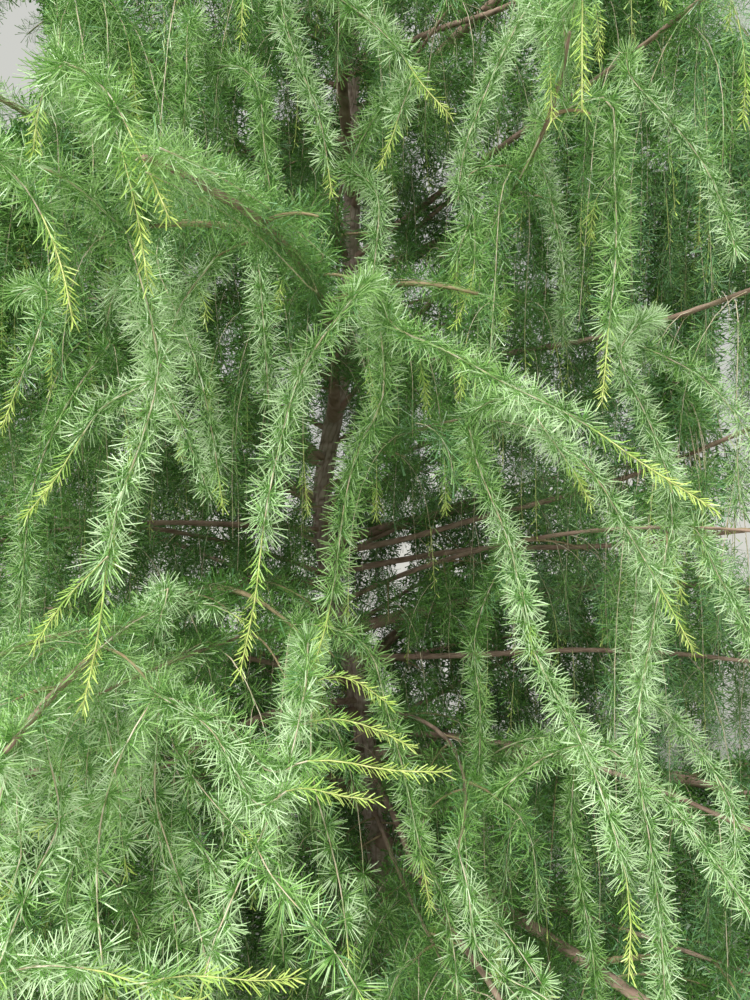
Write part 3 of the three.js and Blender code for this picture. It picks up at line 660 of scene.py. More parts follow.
# Shoots that stand out in the photograph: the length of this year's growth at the end in metres, the
# distances of the first and last place from the camera, and the places as pixels across and down. They grow
# from the nearest twig, as the rest do. One named side forks from the shoot before it, one named star is seen
# from its end, and one named bough_end is the leafy end of a limb that points to the camera.
SHOOTS_IN_VIEW = {
    "left_fork": (0.13, (0.74, 0.67), [(158, 372), (142, 440), (118, 505), (107, 564), (98, 636), (83, 707)]),
    "left_fork_side": (0.10, (0.69, 0.69), [(108, 556), (90, 574), (72, 592), (55, 614), (34, 645)]),
    "left_middle": (0.14, (0.80, 0.69), [(352, 300), (303, 368), (277, 456), (264, 522), (255, 600),
                                         (240, 672)]),
    "middle_upper": (0.06, (1.02, 0.98), [(378, 196), (376, 250), (369, 310), (367, 350), (378, 410)]),
    "middle": (0.08, (0.89, 0.84), [(382, 402), (358, 449), (344, 505), (336, 572), (326, 626), (312, 672)]),
    "right_arch": (0.15, (0.88, 0.69), [(388, 322), (445, 350), (505, 383), (584, 423), (643, 464),
                                        (714, 509)]),
    "right_long": (0.09, (0.98, 0.73), [(474, 452), (512, 552), (533, 650), (580, 738), (614, 830),
                                        (630, 900), (629, 974)]),
    "right_long_side": (0.05, (0.90, 0.90), [(522, 592), (530, 628), (532, 656)]),
    "right_young": (0.10, (0.94, 0.88), [(590, 470), (628, 532), (650, 569), (672, 610), (694, 652)]),
    "right_inner_young": (0.06, (0.88, 0.86), [(530, 410), (552, 440), (574, 472), (590, 502)]),
    "right_hanging_young": (0.07, (1.02, 1.00), [(666, 462), (672, 513), (674, 560), (682, 598)]),
    "upper_left_inner": (0.0, (0.98, 0.94), [(248, 196), (257, 250), (264, 330), (269, 402)]),
    "upper_left": (0.05, (0.92, 0.87), [(156, 262), (180, 320), (197, 364), (210, 420), (223, 508)]),
    "far_left": (0.11, (0.66, 0.62), [(-14, 150), (20, 180), (45, 222), (61, 264), (73, 322)]),
    "top_left": (0.10, (0.62, 0.56), [(58, 60), (92, 76), (118, 108), (134, 142), (152, 178), (169, 218)]),
    "top_left_side": (0.12, (0.60, 0.60), [(106, 94), (115, 126), (124, 160), (137, 214), (148, 285)]),
    "top_left_thin": (0.05, (0.67, 0.66), [(56, 66), (41, 100), (33, 152)]),
    "top_left_inner": (0.0, (1.05, 1.02), [(190, 16), (186, 90), (181, 160), (176, 212)]),
    "top_middle": (0.10, (0.92, 0.85), [(326, -14), (362, 14), (395, 45), (420, 82), (450, 115)]),
    "top_middle_left": (0.05, (0.98, 0.95), [(286, 26), (302, 72), (318, 112), (332, 194)]),
    "top_inner": (0.0, (1.05, 1.02), [(258, 86), (264, 145), (272, 205), (277, 254)]),
    "top_small": (0.07, (0.95, 0.93), [(412, 80), (400, 112), (392, 138), (380, 166)]),
    "top_right_of_middle": (0.0, (1.00, 0.97), [(496, 68), (478, 112), (464, 150), (458, 200)]),
    "right_of_middle": (0.09, (0.98, 0.95), [(472, 172), (475, 230), (472, 280), (456, 324)]),
    "right_of_middle_side": (0.06, (0.97, 0.97), [(470, 222), (457, 258), (457, 300)]),
    "top_right": (0.12, (0.72, 0.68), [(552, -66), (580, -16), (582, 40), (582, 110)]),
    "top_right_thin": (0.08, (0.80, 0.79), [(540, 0), (549, 56), (552, 119)]),
    "right_thin": (0.0, (1.20, 1.18), [(534, 126), (550, 195), (564, 270), (563, 340)]),
    "upper_right": (0.09, (0.88, 0.84), [(603, 96), (614, 172), (616, 252), (609, 325), (602, 402)]),
    "right_arch_high": (0.0, (1.06, 1.00), [(628, 74), (668, 118), (706, 168), (728, 222), (737, 256)]),
    "right_arch_middle": (0.0, (1.08, 1.00), [(624, 338), (668, 358), (706, 380), (732, 410), (758, 450)]),
    "right_twig": (0.0, (0.99, 0.95), [(622, 368), (644, 410), (660, 450), (673, 494)]),
    "left_edge": (0.06, (0.90, 0.87), [(48, 296), (34, 345), (18, 386), (2, 428)]),
    "left_high": (0.0, (1.00, 0.96), [(120, 280), (144, 342), (172, 402), (212, 500)]),
    "left_edge_arch": (0.10, (0.81, 0.75), [(150, 382), (106, 404), (78, 442), (52, 484), (26, 515)]),
    "left_low": (0.0, (0.95, 0.90), [(168, 586), (153, 643), (145, 700), (142, 750), (140, 806)]),
    "left_low_edge": (0.0, (0.98, 0.96), [(31, 496), (24, 560), (19, 628)]),
    "young_arch_upper": (0.10, (0.84, 0.80), [(300, 688), (323, 678), (346, 677), (366, 687), (388, 704)]),
    "young_arch_middle": (0.12, (0.81, 0.78), [(294, 728), (318, 719), (345, 720), (375, 729), (411, 747)]),
    "young_arch_lower": (0.14, (0.75, 0.71), [(278, 774), (300, 762), (339, 761), (386, 770), (443, 772)]),
    "young_arch_lowest": (0.09, (0.71, 0.69), [(268, 806), (283, 792), (306, 788), (340, 796), (375, 800)]),
    "low_middle": (0.06, (1.00, 0.90), [(366, 646), (386, 706), (402, 765), (413, 815), (423, 865),
                                        (430, 908)]),
    "low_middle_pair": (0.0, (1.20, 1.17), [(474, 640), (480, 705), (479, 765), (473, 826)]),
    "low_inner": (0.0, (1.20, 1.15), [(567, 740), (571, 823), (581, 889), (591, 941), (598, 1010)]),
    "low_right": (0.0, (0.96, 0.90), [(637, 766), (647, 823), (655, 878), (662, 940), (666, 1020)]),
    "low_right_sweep": (0.0, (1.03, 0.92), [(600, 744), (643, 777), (683, 818), (720, 868), (754, 920)]),
    "low_right_hook": (0.0, (1.10, 1.01), [(636, 680), (684, 730), (716, 774), (736, 826), (732, 876)]),
    "right_edge": (0.0, (1.01, 0.96), [(692, 526), (715, 569), (734, 605), (758, 656)]),
    "low_left_level": (0.10, (0.60, 0.54), [(-44, 992), (0, 973), (48, 965), (96, 970), (140, 984),
                                            (196, 1004)]),
    "low_left_level_side": (0.10, (0.55, 0.54), [(140, 984), (180, 976), (225, 978), (262, 981), (294, 978)]),
    "star_middle": (0.02, (0.80, 0.61), [(306, 684), (294, 744), (280, 794), (256, 846), (233, 897),
                                         (209, 954), (198, 1010)]),
    "star_middle_side": (0.02, (0.68, 0.57), [(256, 846), (270, 873), (301, 911), (328, 942), (372, 1014)]),
    "star_left": (0.02, (0.79, 0.72), [(114, 762), (119, 800), (122, 840), (127, 872)]),
    "star_left_low": (0.02, (0.73, 0.60), [(103, 808), (98, 850), (97, 905), (101, 950), (106, 1010)]),
    "star_inner_left": (0.02, (0.85, 0.73), [(156, 806), (169, 848), (182, 888), (197, 922), (210, 980)]),
    "star_upper_inner": (0.02, (0.87, 0.78), [(172, 742), (192, 775), (218, 808), (250, 842)]),
    "star_centre": (0.02, (0.86, 0.74), [(314, 786), (326, 828), (338, 875), (345, 918), (349, 960)]),
    "star_far_left": (0.02, (0.68, 0.56), [(58, 828), (36, 872), (22, 907), (8, 940), (-12, 995)]),
    "star_left_corner": (0.02, (0.86, 0.74), [(20, 776), (17, 820), (22, 852), (8, 896)]),
    "star_level": (0.02, (0.81, 0.77), [(120, 796), (92, 803), (66, 814), (36, 832)]),
    "star_inner_level": (0.02, (0.98, 0.95), [(158, 606), (186, 603), (212, 605), (240, 618)]),
    "star_right": (0.02, (1.01, 0.92), [(420, 852), (440, 888), (450, 926), (456, 970), (458, 1020)]),
    "star_low": (0.02, (0.98, 0.90), [(470, 906), (500, 926), (524, 958), (552, 1000)]),
    "star_lowest": (0.02, (0.90, 0.84), [(478, 948), (506, 978), (540, 994), (572, 1020)]),
    "bough_end_high": (0.0, (0.98, 0.57), [(317, 280), (303, 260), (281, 236), (247, 209), (195, 179),
                                           (148, 157), (136, 160)]),
    "bough_end_high_above": (0.0, (0.94, 0.55), [(322, 262), (286, 222), (252, 197), (204, 168), (160, 148)]),
    "bough_end_high_below": (0.0, (0.93, 0.56), [(318, 292), (274, 250), (236, 220), (186, 192), (146, 172)]),
    "bough_end_low": (0.0, (1.00, 0.57), [(167, 604), (145, 616), (121, 631), (70, 675), (36, 712),
                                          (5, 750), (-14, 776)]),
    "bough_end_top": (0.0, (1.00, 0.69), [(516, 184), (538, 142), (556, 92), (569, 32), (576, -10)]),
    "bough_end_middle": (0.0, (1.04, 0.94), [(385, 282), (412, 280), (443, 283), (478, 292), (500, 306)]),
    "bough_end_left": (0.0, (0.85, 0.74), [(280, 238), (232, 224), (178, 220), (128, 229), (110, 246)]),
    "bough_end_low_left": (0.0, (0.90, 0.80), [(125, 628), (79, 630), (30, 641), (-17, 662)]),
    "bough_end_inner_left": (0.0, (1.02, 0.78), [(212, 642), (178, 656), (133, 675), (96, 692), (78, 706)]),
}


def marks(lines, spacing, start, stop, wobble=0.0):
    """Places along lines, evenly spaced by arc length between a start and a stop in metres: the line each
    is on, its number there, how far along it is, its point and the line's direction."""
    steps = lines.shape[1]
    run = np.cumsum(np.linalg.norm(np.diff(lines, axis=1), axis=-1), axis=1)
    run = np.concatenate([np.zeros((len(lines), 1)), run], axis=1)
    length = np.maximum(run[:, -1], 1e-6)
    room = np.minimum(stop, length) - start
    line, number = repeated(np.where(room > 0, np.floor(room / spacing) + 1, 0).astype(int))
    far = start[line] + spacing * (number + wobble * (dice.random(len(line)) - 0.5))
    far = np.clip(far, 0, 0.9999 * length[line])
    table = (run / length[:, None] + 2 * np.arange(len(lines))[:, None]).ravel()
    step = np.interp(far / length[line] + 2 * line, table, np.tile(np.arange(steps), len(lines)))
    before = np.clip(np.floor(step).astype(int), 0, steps - 2)
    part = (step - before)[:, None]
    here, after = lines[line, before], lines[line, before + 1]
    return line, number, far, here * (1 - part) + after * part, unit(after - here)


def hanging_lines(root, out, spread, hang, lift):
    """The source's shoot: outwards by a square that slows down, over a low arch, and down by a power of 1.5,
    with a slight wave to one side."""
    u = np.linspace(0, 1, SHOOT_STEPS)[None, :, None]
    turn = WAVES_OF_A_SHOOT * u + dice.random((len(root), 1, 1))
    wave = SHOOT_WAVE * np.sin(2 * np.pi * turn) * u
    return (root[:, None] + out[:, None] * spread[:, None, None] * (1 - (1 - u) ** 2)
            + UP * (lift * np.sin(np.pi * u) - hang[:, None, None] * u ** 1.5)
            + np.cross(UP, out)[:, None] * wave)


def low_enough(hang, root):
    """A hang cut short where it would come nearer to the ground than its clearance."""
    return np.minimum(hang, root[:, 2] - GROUND_CLEARANCE)


# The limbs, the boughs that show and the side twigs all carry shoots.
carrier_share = np.linspace(CARRIER_FROM, 1, CARRIER_STEPS)
carriers = np.concatenate([limb_point(limb_number[:, None], carrier_share[None, :]), shown_lines,
                           side_twig_lines(CARRIER_STEPS)])
shown_limb = np.argmin(np.abs(limb_height[:LIMB_COUNT] - shown_lines[:, :1, 2]), axis=1)
carrier_limb = np.concatenate([limb_number, shown_limb, side_limb])
carrier_is_limb = np.arange(len(carriers)) < len(limb_number) + len(shown_lines)
carrier_is_fine = np.arange(len(carriers)) >= carrier_is_limb.sum() + len(strong_limb)
carrier_length = lengths(carriers)

shoot_from = np.where(carrier_is_limb, BARE_LIMB_SHARE * carrier_length, BARE_TWIG)
carrier, number, _, root, along = marks(carriers, SHOOT_EVERY, shoot_from, carrier_length, SHOOT_WOBBLE)
fork = np.radians(SHOOT_FORK + SHOOT_FORK_MORE * dice.random(len(root))) * alternate(number)
shoot_limb = carrier_limb[carrier]
outness = np.linalg.norm((root - trunk_centre(root[:, 2]))[:, :2], axis=1) / limb_reach[shoot_limb]
scale = limb_size[shoot_limb] * np.clip(0.5 + 0.6 * outness, 0, 1)
scale = scale * np.where(carrier_is_fine[carrier], 0.8, 1)
spread = (SHOOT_SPREAD + SPREAD_MORE * dice.random(len(root))) * scale
hang = (SHOOT_HANG + HANG_MORE * dice.random(len(root))) * scale
is_short = dice.random(len(root)) < SHORT_SHARE
spread = np.where(is_short, 0.5 * spread, spread)
hang = low_enough(np.where(is_short, dice.uniform(-0.03, 0.06, len(root)), hang), root)
shoots = hanging_lines(root, turned(level(along), fork), spread, hang, SHOOT_LIFT)

# Each limb and twig also ends in a shoot, and about a third of all the longer ones fork.
end_root = carriers[:, -1]
end_out = level(carriers[:, -1] - carriers[:, -4])
end_hang = low_enough(dice.uniform(0.10, 0.24, len(carriers)) * limb_size[carrier_limb], end_root)
end_spread = dice.uniform(0.04, 0.09, len(carriers)) * limb_size[carrier_limb]
ends = hanging_lines(end_root, end_out, end_spread, end_hang, END_LIFT)
shoots = np.concatenate([shoots, ends])
shoot_limb = np.concatenate([shoot_limb, carrier_limb])
parent = np.flatnonzero((dice.random(len(shoots)) < LATERAL_SHARE) & (lengths(shoots) > SHORTEST_PARENT))
step = dice.integers(4, 12, len(parent))
fork_root = shoots[parent, step]
fork_out = turned(np.tile([1.0, 0.0, 0.0], (len(parent), 1)), dice.uniform(0, 2 * np.pi, len(parent)))
fork_hang = low_enough(dice.uniform(0.06, 0.17, len(parent)), fork_root)
fork_spread = dice.uniform(0.03, 0.075, len(parent))
laterals = hanging_lines(fork_root, fork_out, fork_spread, fork_hang, LATERAL_LIFT)
shoots = np.concatenate([shoots, laterals])
shoot_limb = np.concatenate([shoot_limb, shoot_limb[parent]])

# The shoots that stand out start on a twig above and behind them.
BELOW_COUNTS, BEFORE_COUNTS, AHEAD_COUNTS = 1.2, 2.0, 1.5
ARCH_SHARE = 0.12


def grown_from_nearest(knots):
    """The knots of a shoot with its start on the nearest twig, reached by an arch, and the limb that carries
    the twig. A twig counts as farther off for what it lies below, before or ahead of the shoot."""
    top = knots[0]
    reach = carriers - top
    ahead = level(knots[1] - knots[0])
    gap = (np.linalg.norm(reach, axis=-1) + BELOW_COUNTS * np.maximum(-reach[..., 2], 0)
           + BEFORE_COUNTS * np.maximum(-reach[..., 1], 0) + AHEAD_COUNTS * np.maximum(reach @ ahead, 0))
    carrier, step = np.unravel_index(np.argmin(gap), gap.shape)
    start = carriers[carrier, step]
    arch = (start + top) / 2 + UP * ARCH_SHARE * np.linalg.norm(start - top)
    return np.concatenate([[start, arch], knots]), carrier_limb[carrier]


view_lines, view_limbs = [], []
for name, (_, distances, pixels) in SHOOTS_IN_VIEW.items():
    across, down = np.array(pixels, dtype=float).T
    knots = unseen(across, down, np.linspace(*distances, len(pixels)))
    if name.endswith("_side"):
        limb = view_limbs[-1]
    else:
        knots, limb = grown_from_nearest(knots)
    view_lines.append(smooth_line(knots, SHOOT_STEPS))
    view_limbs.append(limb)
view_lines = np.stack(view_lines)
view_limbs = np.array(view_limbs)
is_bough_end = np.array([name.startswith("bough_end") for name in SHOOTS_IN_VIEW])

# Nothing hangs before the shoots that stand out, or in the gaps through which the trunk, the boughs and the
# sky show. A gap is given by pixels across and down, half its width and height, and how far it stays open in
# metres.
NEAREST = 0.56
BEFORE_MARGIN = 13
GAPS = [
    (331, 460, 16, 66, 1.7), (354, 165, 12, 40, 1.7), (352, 715, 18, 30, 1.6), (376, 845, 14, 36, 1.6),
    (425, 300, 14, 8, 4.0), (432, 464, 8, 16, 4.0), (402, 566, 7, 8, 4.0), (726, 340, 12, 10, 4.0),
    (231, 624, 9, 8, 4.0), (22, 48, 34, 58, 4.0),
]

# The trunk and the boughs also lie open to the eye along these stretches, given by pixels across and down at
# each end. Only a small share of the shoots passes before them.
OPEN_STRETCHES = [
    (349, 98, 358, 205), (352, 228, 350, 282), (338, 395, 326, 520), (350, 690, 352, 735),
    (366, 812, 374, 872), (151, 776, 277, 708), (500, 150, 650, 38), (631, 331, 750, 288),
    (521, 303, 548, 295), (679, 462, 739, 432), (613, 484, 639, 478), (366, 546, 473, 516),
    (360, 569, 468, 553), (382, 656, 500, 659), (250, 661, 303, 669), (413, 717, 448, 723),
    (166, 527, 239, 524), (175, 556, 215, 553), (425, 35, 500, 5), (537, 549, 612, 543),
    (612, 543, 750, 527), (556, 599, 608, 610), (556, 648, 594, 647), (667, 637, 736, 658),
    (390, 827, 417, 868), (464, 916, 495, 989), (517, 819, 561, 826), (624, 780, 691, 806),
    (691, 806, 750, 830),
]
STRETCH_HALF_WIDTH = 14
SHARE_BEFORE_WOOD = 0.3
LINE_MARGIN, SHOOT_MARGIN, TWIG_MARGIN = 45, 55, 60


def open_wood():
    """Points of the trunk and the shown boughs that lie in one of the open stretches: pixel across and down,
    and distance. A point lies in a stretch when it is within the half width of the line between its ends."""
    wood = [smooth_line(line, 160) for line in shown_lines] + [trunk_centre(np.linspace(0.5, 2.8, 300))]
    across, down, depth = seen(np.concatenate(wood))
    inside = np.zeros(len(across), bool)
    for x0, y0, x1, y1 in OPEN_STRETCHES:
        wide, tall = x1 - x0, y1 - y0
        part = np.clip(((across - x0) * wide + (down - y0) * tall) / (wide ** 2 + tall ** 2), 0, 1)
        inside |= np.hypot(across - x0 - part * wide, down - y0 - part * tall) < STRETCH_HALF_WIDTH
    return across[inside], down[inside], depth[inside]


open_across, open_down, open_depth = open_wood()


def before_open_wood(across, down, depth, margin):
    """Which places stand before an open stretch of wood, or within a margin in pixels beside it."""
    before = np.zeros(across.shape, bool)
    for a, b, d in zip(open_across, open_down, open_depth):
        before |= ((across - a) ** 2 + (down - b) ** 2 < margin ** 2) & (depth < d + 0.02)
    return before


def framed_places(points, margin):
    """Where points stand in the photograph, and which of them are inside it or within a margin in pixels."""
    across, down, depth = seen(points)
    inside = np.abs(across - PHOTO_WIDTH / 2) < PHOTO_WIDTH / 2 + margin
    inside &= np.abs(down - PHOTO_HEIGHT / 2) < PHOTO_HEIGHT / 2 + margin
    return across, down, depth, inside & (depth > 0.05)


def in_the_way(lines):
    """Which lines come nearer than the shoots in view do, pass in front of one of them, cross a gap, or pass
    before open wood and aren't in the small share that may."""
    across, down, depth, framed = framed_places(lines, LINE_MARGIN)
    blocked = (framed & (depth < NEAREST)).any(axis=1)
    for a, b, wide, tall, far in GAPS:
        inside = ((across - a) / wide) ** 2 + ((down - b) / tall) ** 2 < 1
        blocked |= (inside & framed & (depth < far)).any(axis=1)
    for line in view_lines[~is_bough_end]:
        a, b, d = seen(line[3:])
        gap = np.hypot(across[..., None] - a, down[..., None] - b)
        near = (gap < BEFORE_MARGIN / d) & (depth[..., None] < d)
        blocked |= (near.any(axis=-1) & framed).any(axis=1)
    kept = dice.random(len(lines)) < SHARE_BEFORE_WOOD
    blocked |= (before_open_wood(across, down, depth, 6) & framed).any(axis=1) & ~kept
    return blocked


# The sides that the photograph doesn't show carry fewer shoots, up to the height where the crown grows thin.
OUT_OF_VIEW_SHARE = 0.56
FULL_ABOVE = 2.5
is_framed = framed_places(shoots, SHOOT_MARGIN)[3].any(axis=1)
is_kept = is_framed | (dice.random(len(shoots)) < OUT_OF_VIEW_SHARE) | (shoots[:, 0, 2] > FULL_ABOVE)
clear = ~in_the_way(shoots) & is_kept
shoots, shoot_limb = shoots[clear], shoot_limb[clear]

# Where the curtain is still thin, more shoots hang from the nearest twigs, in rounds. Each round brings as
# many as a cell of the photograph lacks to hold its full number of shoot points.
CURTAIN_CELLS = (18, 24)
CURTAIN_ROUNDS = 3
FULL_CELL = 130
POINTS_OF_A_SHOOT = 12
CURTAIN_NEAR, CURTAIN_FAR = 0.98, 2.5
CURTAIN_LIFT = 0.012
NEAREST_TWIGS = 14
BARE_STEPS = 4
twig_points = carriers[:, BARE_STEPS:].reshape(-1, 3)
twig_limb = np.repeat(carrier_limb, CARRIER_STEPS - BARE_STEPS)
across, down, depth, framed = framed_places(twig_points, TWIG_MARGIN)
framed &= (depth > CURTAIN_NEAR) & (depth < CURTAIN_FAR)
twig_points, twig_limb = twig_points[framed], twig_limb[framed]
twig_across, twig_down = across[framed], down[framed]
for _ in range(CURTAIN_ROUNDS):
    across, down, depth, framed = framed_places(shoots, 0)
    framed &= depth < CURTAIN_FAR
    held, _, _ = np.histogram2d(across[framed], down[framed], bins=CURTAIN_CELLS,
                                range=((0, PHOTO_WIDTH), (0, PHOTO_HEIGHT)))
    lacking = np.clip(FULL_CELL - held, 0, None) / POINTS_OF_A_SHOOT
    cell, _ = repeated(np.floor(lacking + dice.random(lacking.shape)).astype(int).ravel())
    column, row = np.divmod(cell, CURTAIN_CELLS[1])
    aim_across = (column + dice.random(len(cell))) * PHOTO_WIDTH / CURTAIN_CELLS[0]
    aim_down = (row + dice.uniform(-2.5, 0.5, len(cell))) * PHOTO_HEIGHT / CURTAIN_CELLS[1]
    gap = np.hypot(twig_across - aim_across[:, None], twig_down - aim_down[:, None])
    picked = np.argsort(gap, axis=1)[np.arange(len(cell)), dice.integers(0, NEAREST_TWIGS, len(cell))]
    root = twig_points[picked]
    turn = dice.uniform(0, 2 * np.pi, len(cell))
    out = np.stack([np.cos(turn), np.sin(turn), 0 * turn], axis=-1)
    hang = low_enough(dice.uniform(0.16, 0.38, len(cell)), root)
    fill = hanging_lines(root, out, dice.uniform(0.03, 0.12, len(cell)), hang, CURTAIN_LIFT)
    clear = ~in_the_way(fill)
    shoots = np.concatenate([shoots, fill[clear]])
    shoot_limb = np.concatenate([shoot_limb, twig_limb[picked][clear]])

# Short shoots rise all round the leader, shorter towards its top, and the last one ends it.
LEADER_SHOOTS = 17
LEADER_SPREAD, LESS_FOR_EACH, LAST_SPREAD = 0.15, 0.007, 0.004
LEADER_CLIMB, LAST_CLIMB = 0.045, 0.058
LEADER_LIFT = 0.002
leader_number = np.arange(LEADER_SHOOTS)
is_side = leader_number < LEADER_SHOOTS - 1
leader_root = leader[np.where(is_side, 1 + 2 * leader_number, -1)]
turn = GOLDEN_ANGLE * leader_number
out = np.stack([np.cos(turn), np.sin(turn), 0 * turn], axis=-1)
spread = np.where(is_side, LEADER_SPREAD - LESS_FOR_EACH * leader_number, LAST_SPREAD)
hang = np.where(is_side, -LEADER_CLIMB, -LAST_CLIMB)
leader_shoots = hanging_lines(leader_root, out, spread, hang, LEADER_LIFT)
shoots = np.concatenate([leader_shoots, shoots, view_lines])
shoot_limb = np.concatenate([np.full(LEADER_SHOOTS, LIMB_COUNT - 1), shoot_limb, view_limbs])
first_in_view = len(shoots) - len(view_lines)
is_in_view = np.arange(len(shoots)) >= first_in_view
is_starry, is_shown_off = is_in_view.copy(), is_in_view.copy()
is_starry[first_in_view:] = [name.startswith("star") for name in SHOOTS_IN_VIEW]
is_shown_off[first_in_view:] = ~is_bough_end

# The needle tufts
# Every spur on last years' wood bears a tuft of thirty or more soft flat needles, about 30 mm long, spread in
# a half star away from the twig. They are a fresh green; some tips take the pale tone as painted highlight,
# and close tufts also have a darker foot as painted shade in the crowded middle of the tuft.
TUFT_EVERY = 0.0125
LIMB_TUFT_EVERY = 0.009
BARE_TUFT_EVERY = 0.040
TUFT_WOBBLE = 0.5
NEEDLE_LENGTH = 0.031
NEEDLE_WAIST = 0.4
BLUNT = 0.65
TUFT_SPREAD, SPREAD_POWER = np.radians(104), 0.62
TUFT_SCATTER = 0.12
SPUR_AHEAD = 0.22
NEEDLE_SINK = 0.001
NEEDLE_CURVE, NEEDLE_DROOP = 0.035, 0.04

# Tufts that the photograph shows close have their full needles, and the others fewer and broader ones. Front
# tufts stand near the camera or in the first layers, inner and deeper ones behind them, and beyond is past
# them all. Shown ones are on the shoots that stand out, stars are seen from their end, and hidden ones are
# out of view. A zone tells the needles in a tuft, on every how many spurs they stand, and their width.
ZONES = [
    (28, 1, 1.3 * MM),
    (18, 1, 2.1 * MM),
    (6, 2, 7.5 * MM),
    (46, 2, 1.1 * MM),
    (13, 2, 7.5 * MM),
    (44, 1, 1.0 * MM),
    (10, 1, 3.6 * MM),
]
FRONT, INNER, HIDDEN, STARS, BEYOND, SHOWN, DEEPER = range(7)
NEAR, MIDDLE, SHOWN_NEAR, FAR = 0.95, 1.5, 1.25, 2.2
CELL = 24
FRONT_LAYERS, LAYERS_SEEN, DEEPER_LAYERS = 3, 9, 17

# Left of the first pixel and below the second the shoots are seen from above, and their tufts read as stars.
STAR_PATCH = (390, 735)

# Each tone wanders between two plain colours, a darker and a paler one.
TONES = {
    # Deep: partly the inner needles' own darker green, partly painted shade for tufts behind others.
    "deep": ("#3f6a26", "#568338"),
    "mid": ("#5c913b", "#78aa4e"),
    # Pale: painted highlight, the glint of light along needle tips.
    "light": ("#8cbd5f", "#b0d68b"),
    "pale": ("#b0d792", "#d6edc0"),
    "cool": ("#5f985c", "#87b57f"),
    "fresh": ("#98c456", "#b8da72"),
    "young": ("#b2d25a", "#d3e585"),
}
DEEP, MID, LIGHT, PAINTED_HIGHLIGHT, COOL, FRESH, YOUNG = range(7)
TONE_NAMES = list(TONES)
LIGHT_ABOVE, MID_ABOVE = 0.84, 0.52
LIGHT_BY_OUTNESS, LIGHT_BY_SHARE, LIGHT_BY_CHANCE = 0.45, 0.22, 0.38
# Painted light on the shoots that stand out, a little painted shade on the tufts behind, painted light low
# left.
PAINTED_LIGHT_SHOWN, PAINTED_SHADE_BEHIND, PAINTED_LIGHT_LOW = 0.16, -0.03, 0.1
# Painted shade: lightness taken from tufts in the inner and deeper layers of the view, and beyond them.
PAINTED_SHADE_INSIDE, PAINTED_SHADE_DEEP = 0.10, 0.22

# Left of this point, before it and below it the tufts get painted light: a paler tone where the open crown
# catches more light.
PAINTED_LIGHT_CORNER = (-0.12, -0.75, 1.35)

# Some middle green tufts are a cooler green: a share of them all, and whole shoots at the right.
COOL_SHARE, COOL_FROM, COOL_CHANCES = 0.25, 0.25, (0.45, 0.8)
TUFT_MARGIN = 50
TIERS = ["lower", "middle", "upper"]
TIER_HEIGHTS = (1.25, 2.4)


def tier_of(limb):
    """0, 1 or 2 for a limb that leaves the trunk in the lower, middle or upper part of the crown."""
    return (limb_height[limb] >= TIER_HEIGHTS[0]).astype(int) + (limb_height[limb] >= TIER_HEIGHTS[1])


def round_twig(along, roll):
    """Directions square to a twig at a roll angle round it."""
    steady = np.where(np.abs(along[:, 2:]) > 0.8, [[0.3, 1.0, 0.1]], UP[None])
    side = unit(np.cross(along, steady))
    return np.cos(roll)[:, None] * side + np.sin(roll)[:, None] * np.cross(side, along)


def fan(axis, polar, around):
    """Directions at a polar angle from an axis and an angle round it."""
    side = round_twig(axis, around)
    return np.cos(polar)[:, None] * axis + np.sin(polar)[:, None] * side


def needle_corners(foot, direction, length, width):
    """The corners of flat needles that widen from the foot to a waist and narrow a little to a blunt tip.
    The tip bends sideways at random and down a little, and the waist by its share of the length squared."""
    side = unit(np.cross(direction, unit(dice.normal(size=foot.shape)))) * (width / 2)[:, None]
    bend = dice.normal(scale=NEEDLE_CURVE, size=foot.shape) * length[:, None]
    bend = bend - UP * NEEDLE_DROOP * length[:, None]
    waist = foot + direction * (NEEDLE_WAIST * length)[:, None] + NEEDLE_WAIST ** 2 * bend
    tip = foot + direction * length[:, None] + bend
    return foot, waist - side, waist + side, tip - BLUNT * side, tip + BLUNT * side


heaps = {}


def pile(tone, tier, *corners):
    """Keeps one triangle a needle, from its three corners, for the piece of its tone and tier."""
    triangles = np.stack(corners, axis=1)
    for key in np.unique(np.stack([tone, tier], axis=1), axis=0).tolist():
        mine = (tone == key[0]) & (tier == key[1])
        heaps.setdefault(tuple(key), []).append(triangles[mine])


def pile_whole(foot_tone, tip_tone, tier, foot, left, right, tip_left, tip_right):
    """Keeps needles with their waist: a triangle from the foot to it, and two from it to the blunt tip."""
    pile(foot_tone, tier, foot, left, right)
    pile(tip_tone, tier, left, tip_left, tip_right)
    pile(tip_tone, tier, left, tip_right, right)


# About a third of the shoots end in this year's growth, which has no tufts, and so do those named above.
YOUNG_SHARE = 0.32
tip_length = dice.uniform(0.05, 0.11, len(shoots)) * (dice.random(len(shoots)) < YOUNG_SHARE)
tip_length[first_in_view:] = [young for young, _, _ in SHOOTS_IN_VIEW.values()]
tip_length = np.minimum(tip_length, np.where(is_in_view, 0.9, 0.5) * lengths(shoots))
shoot_tone = dice.random(len(shoots))

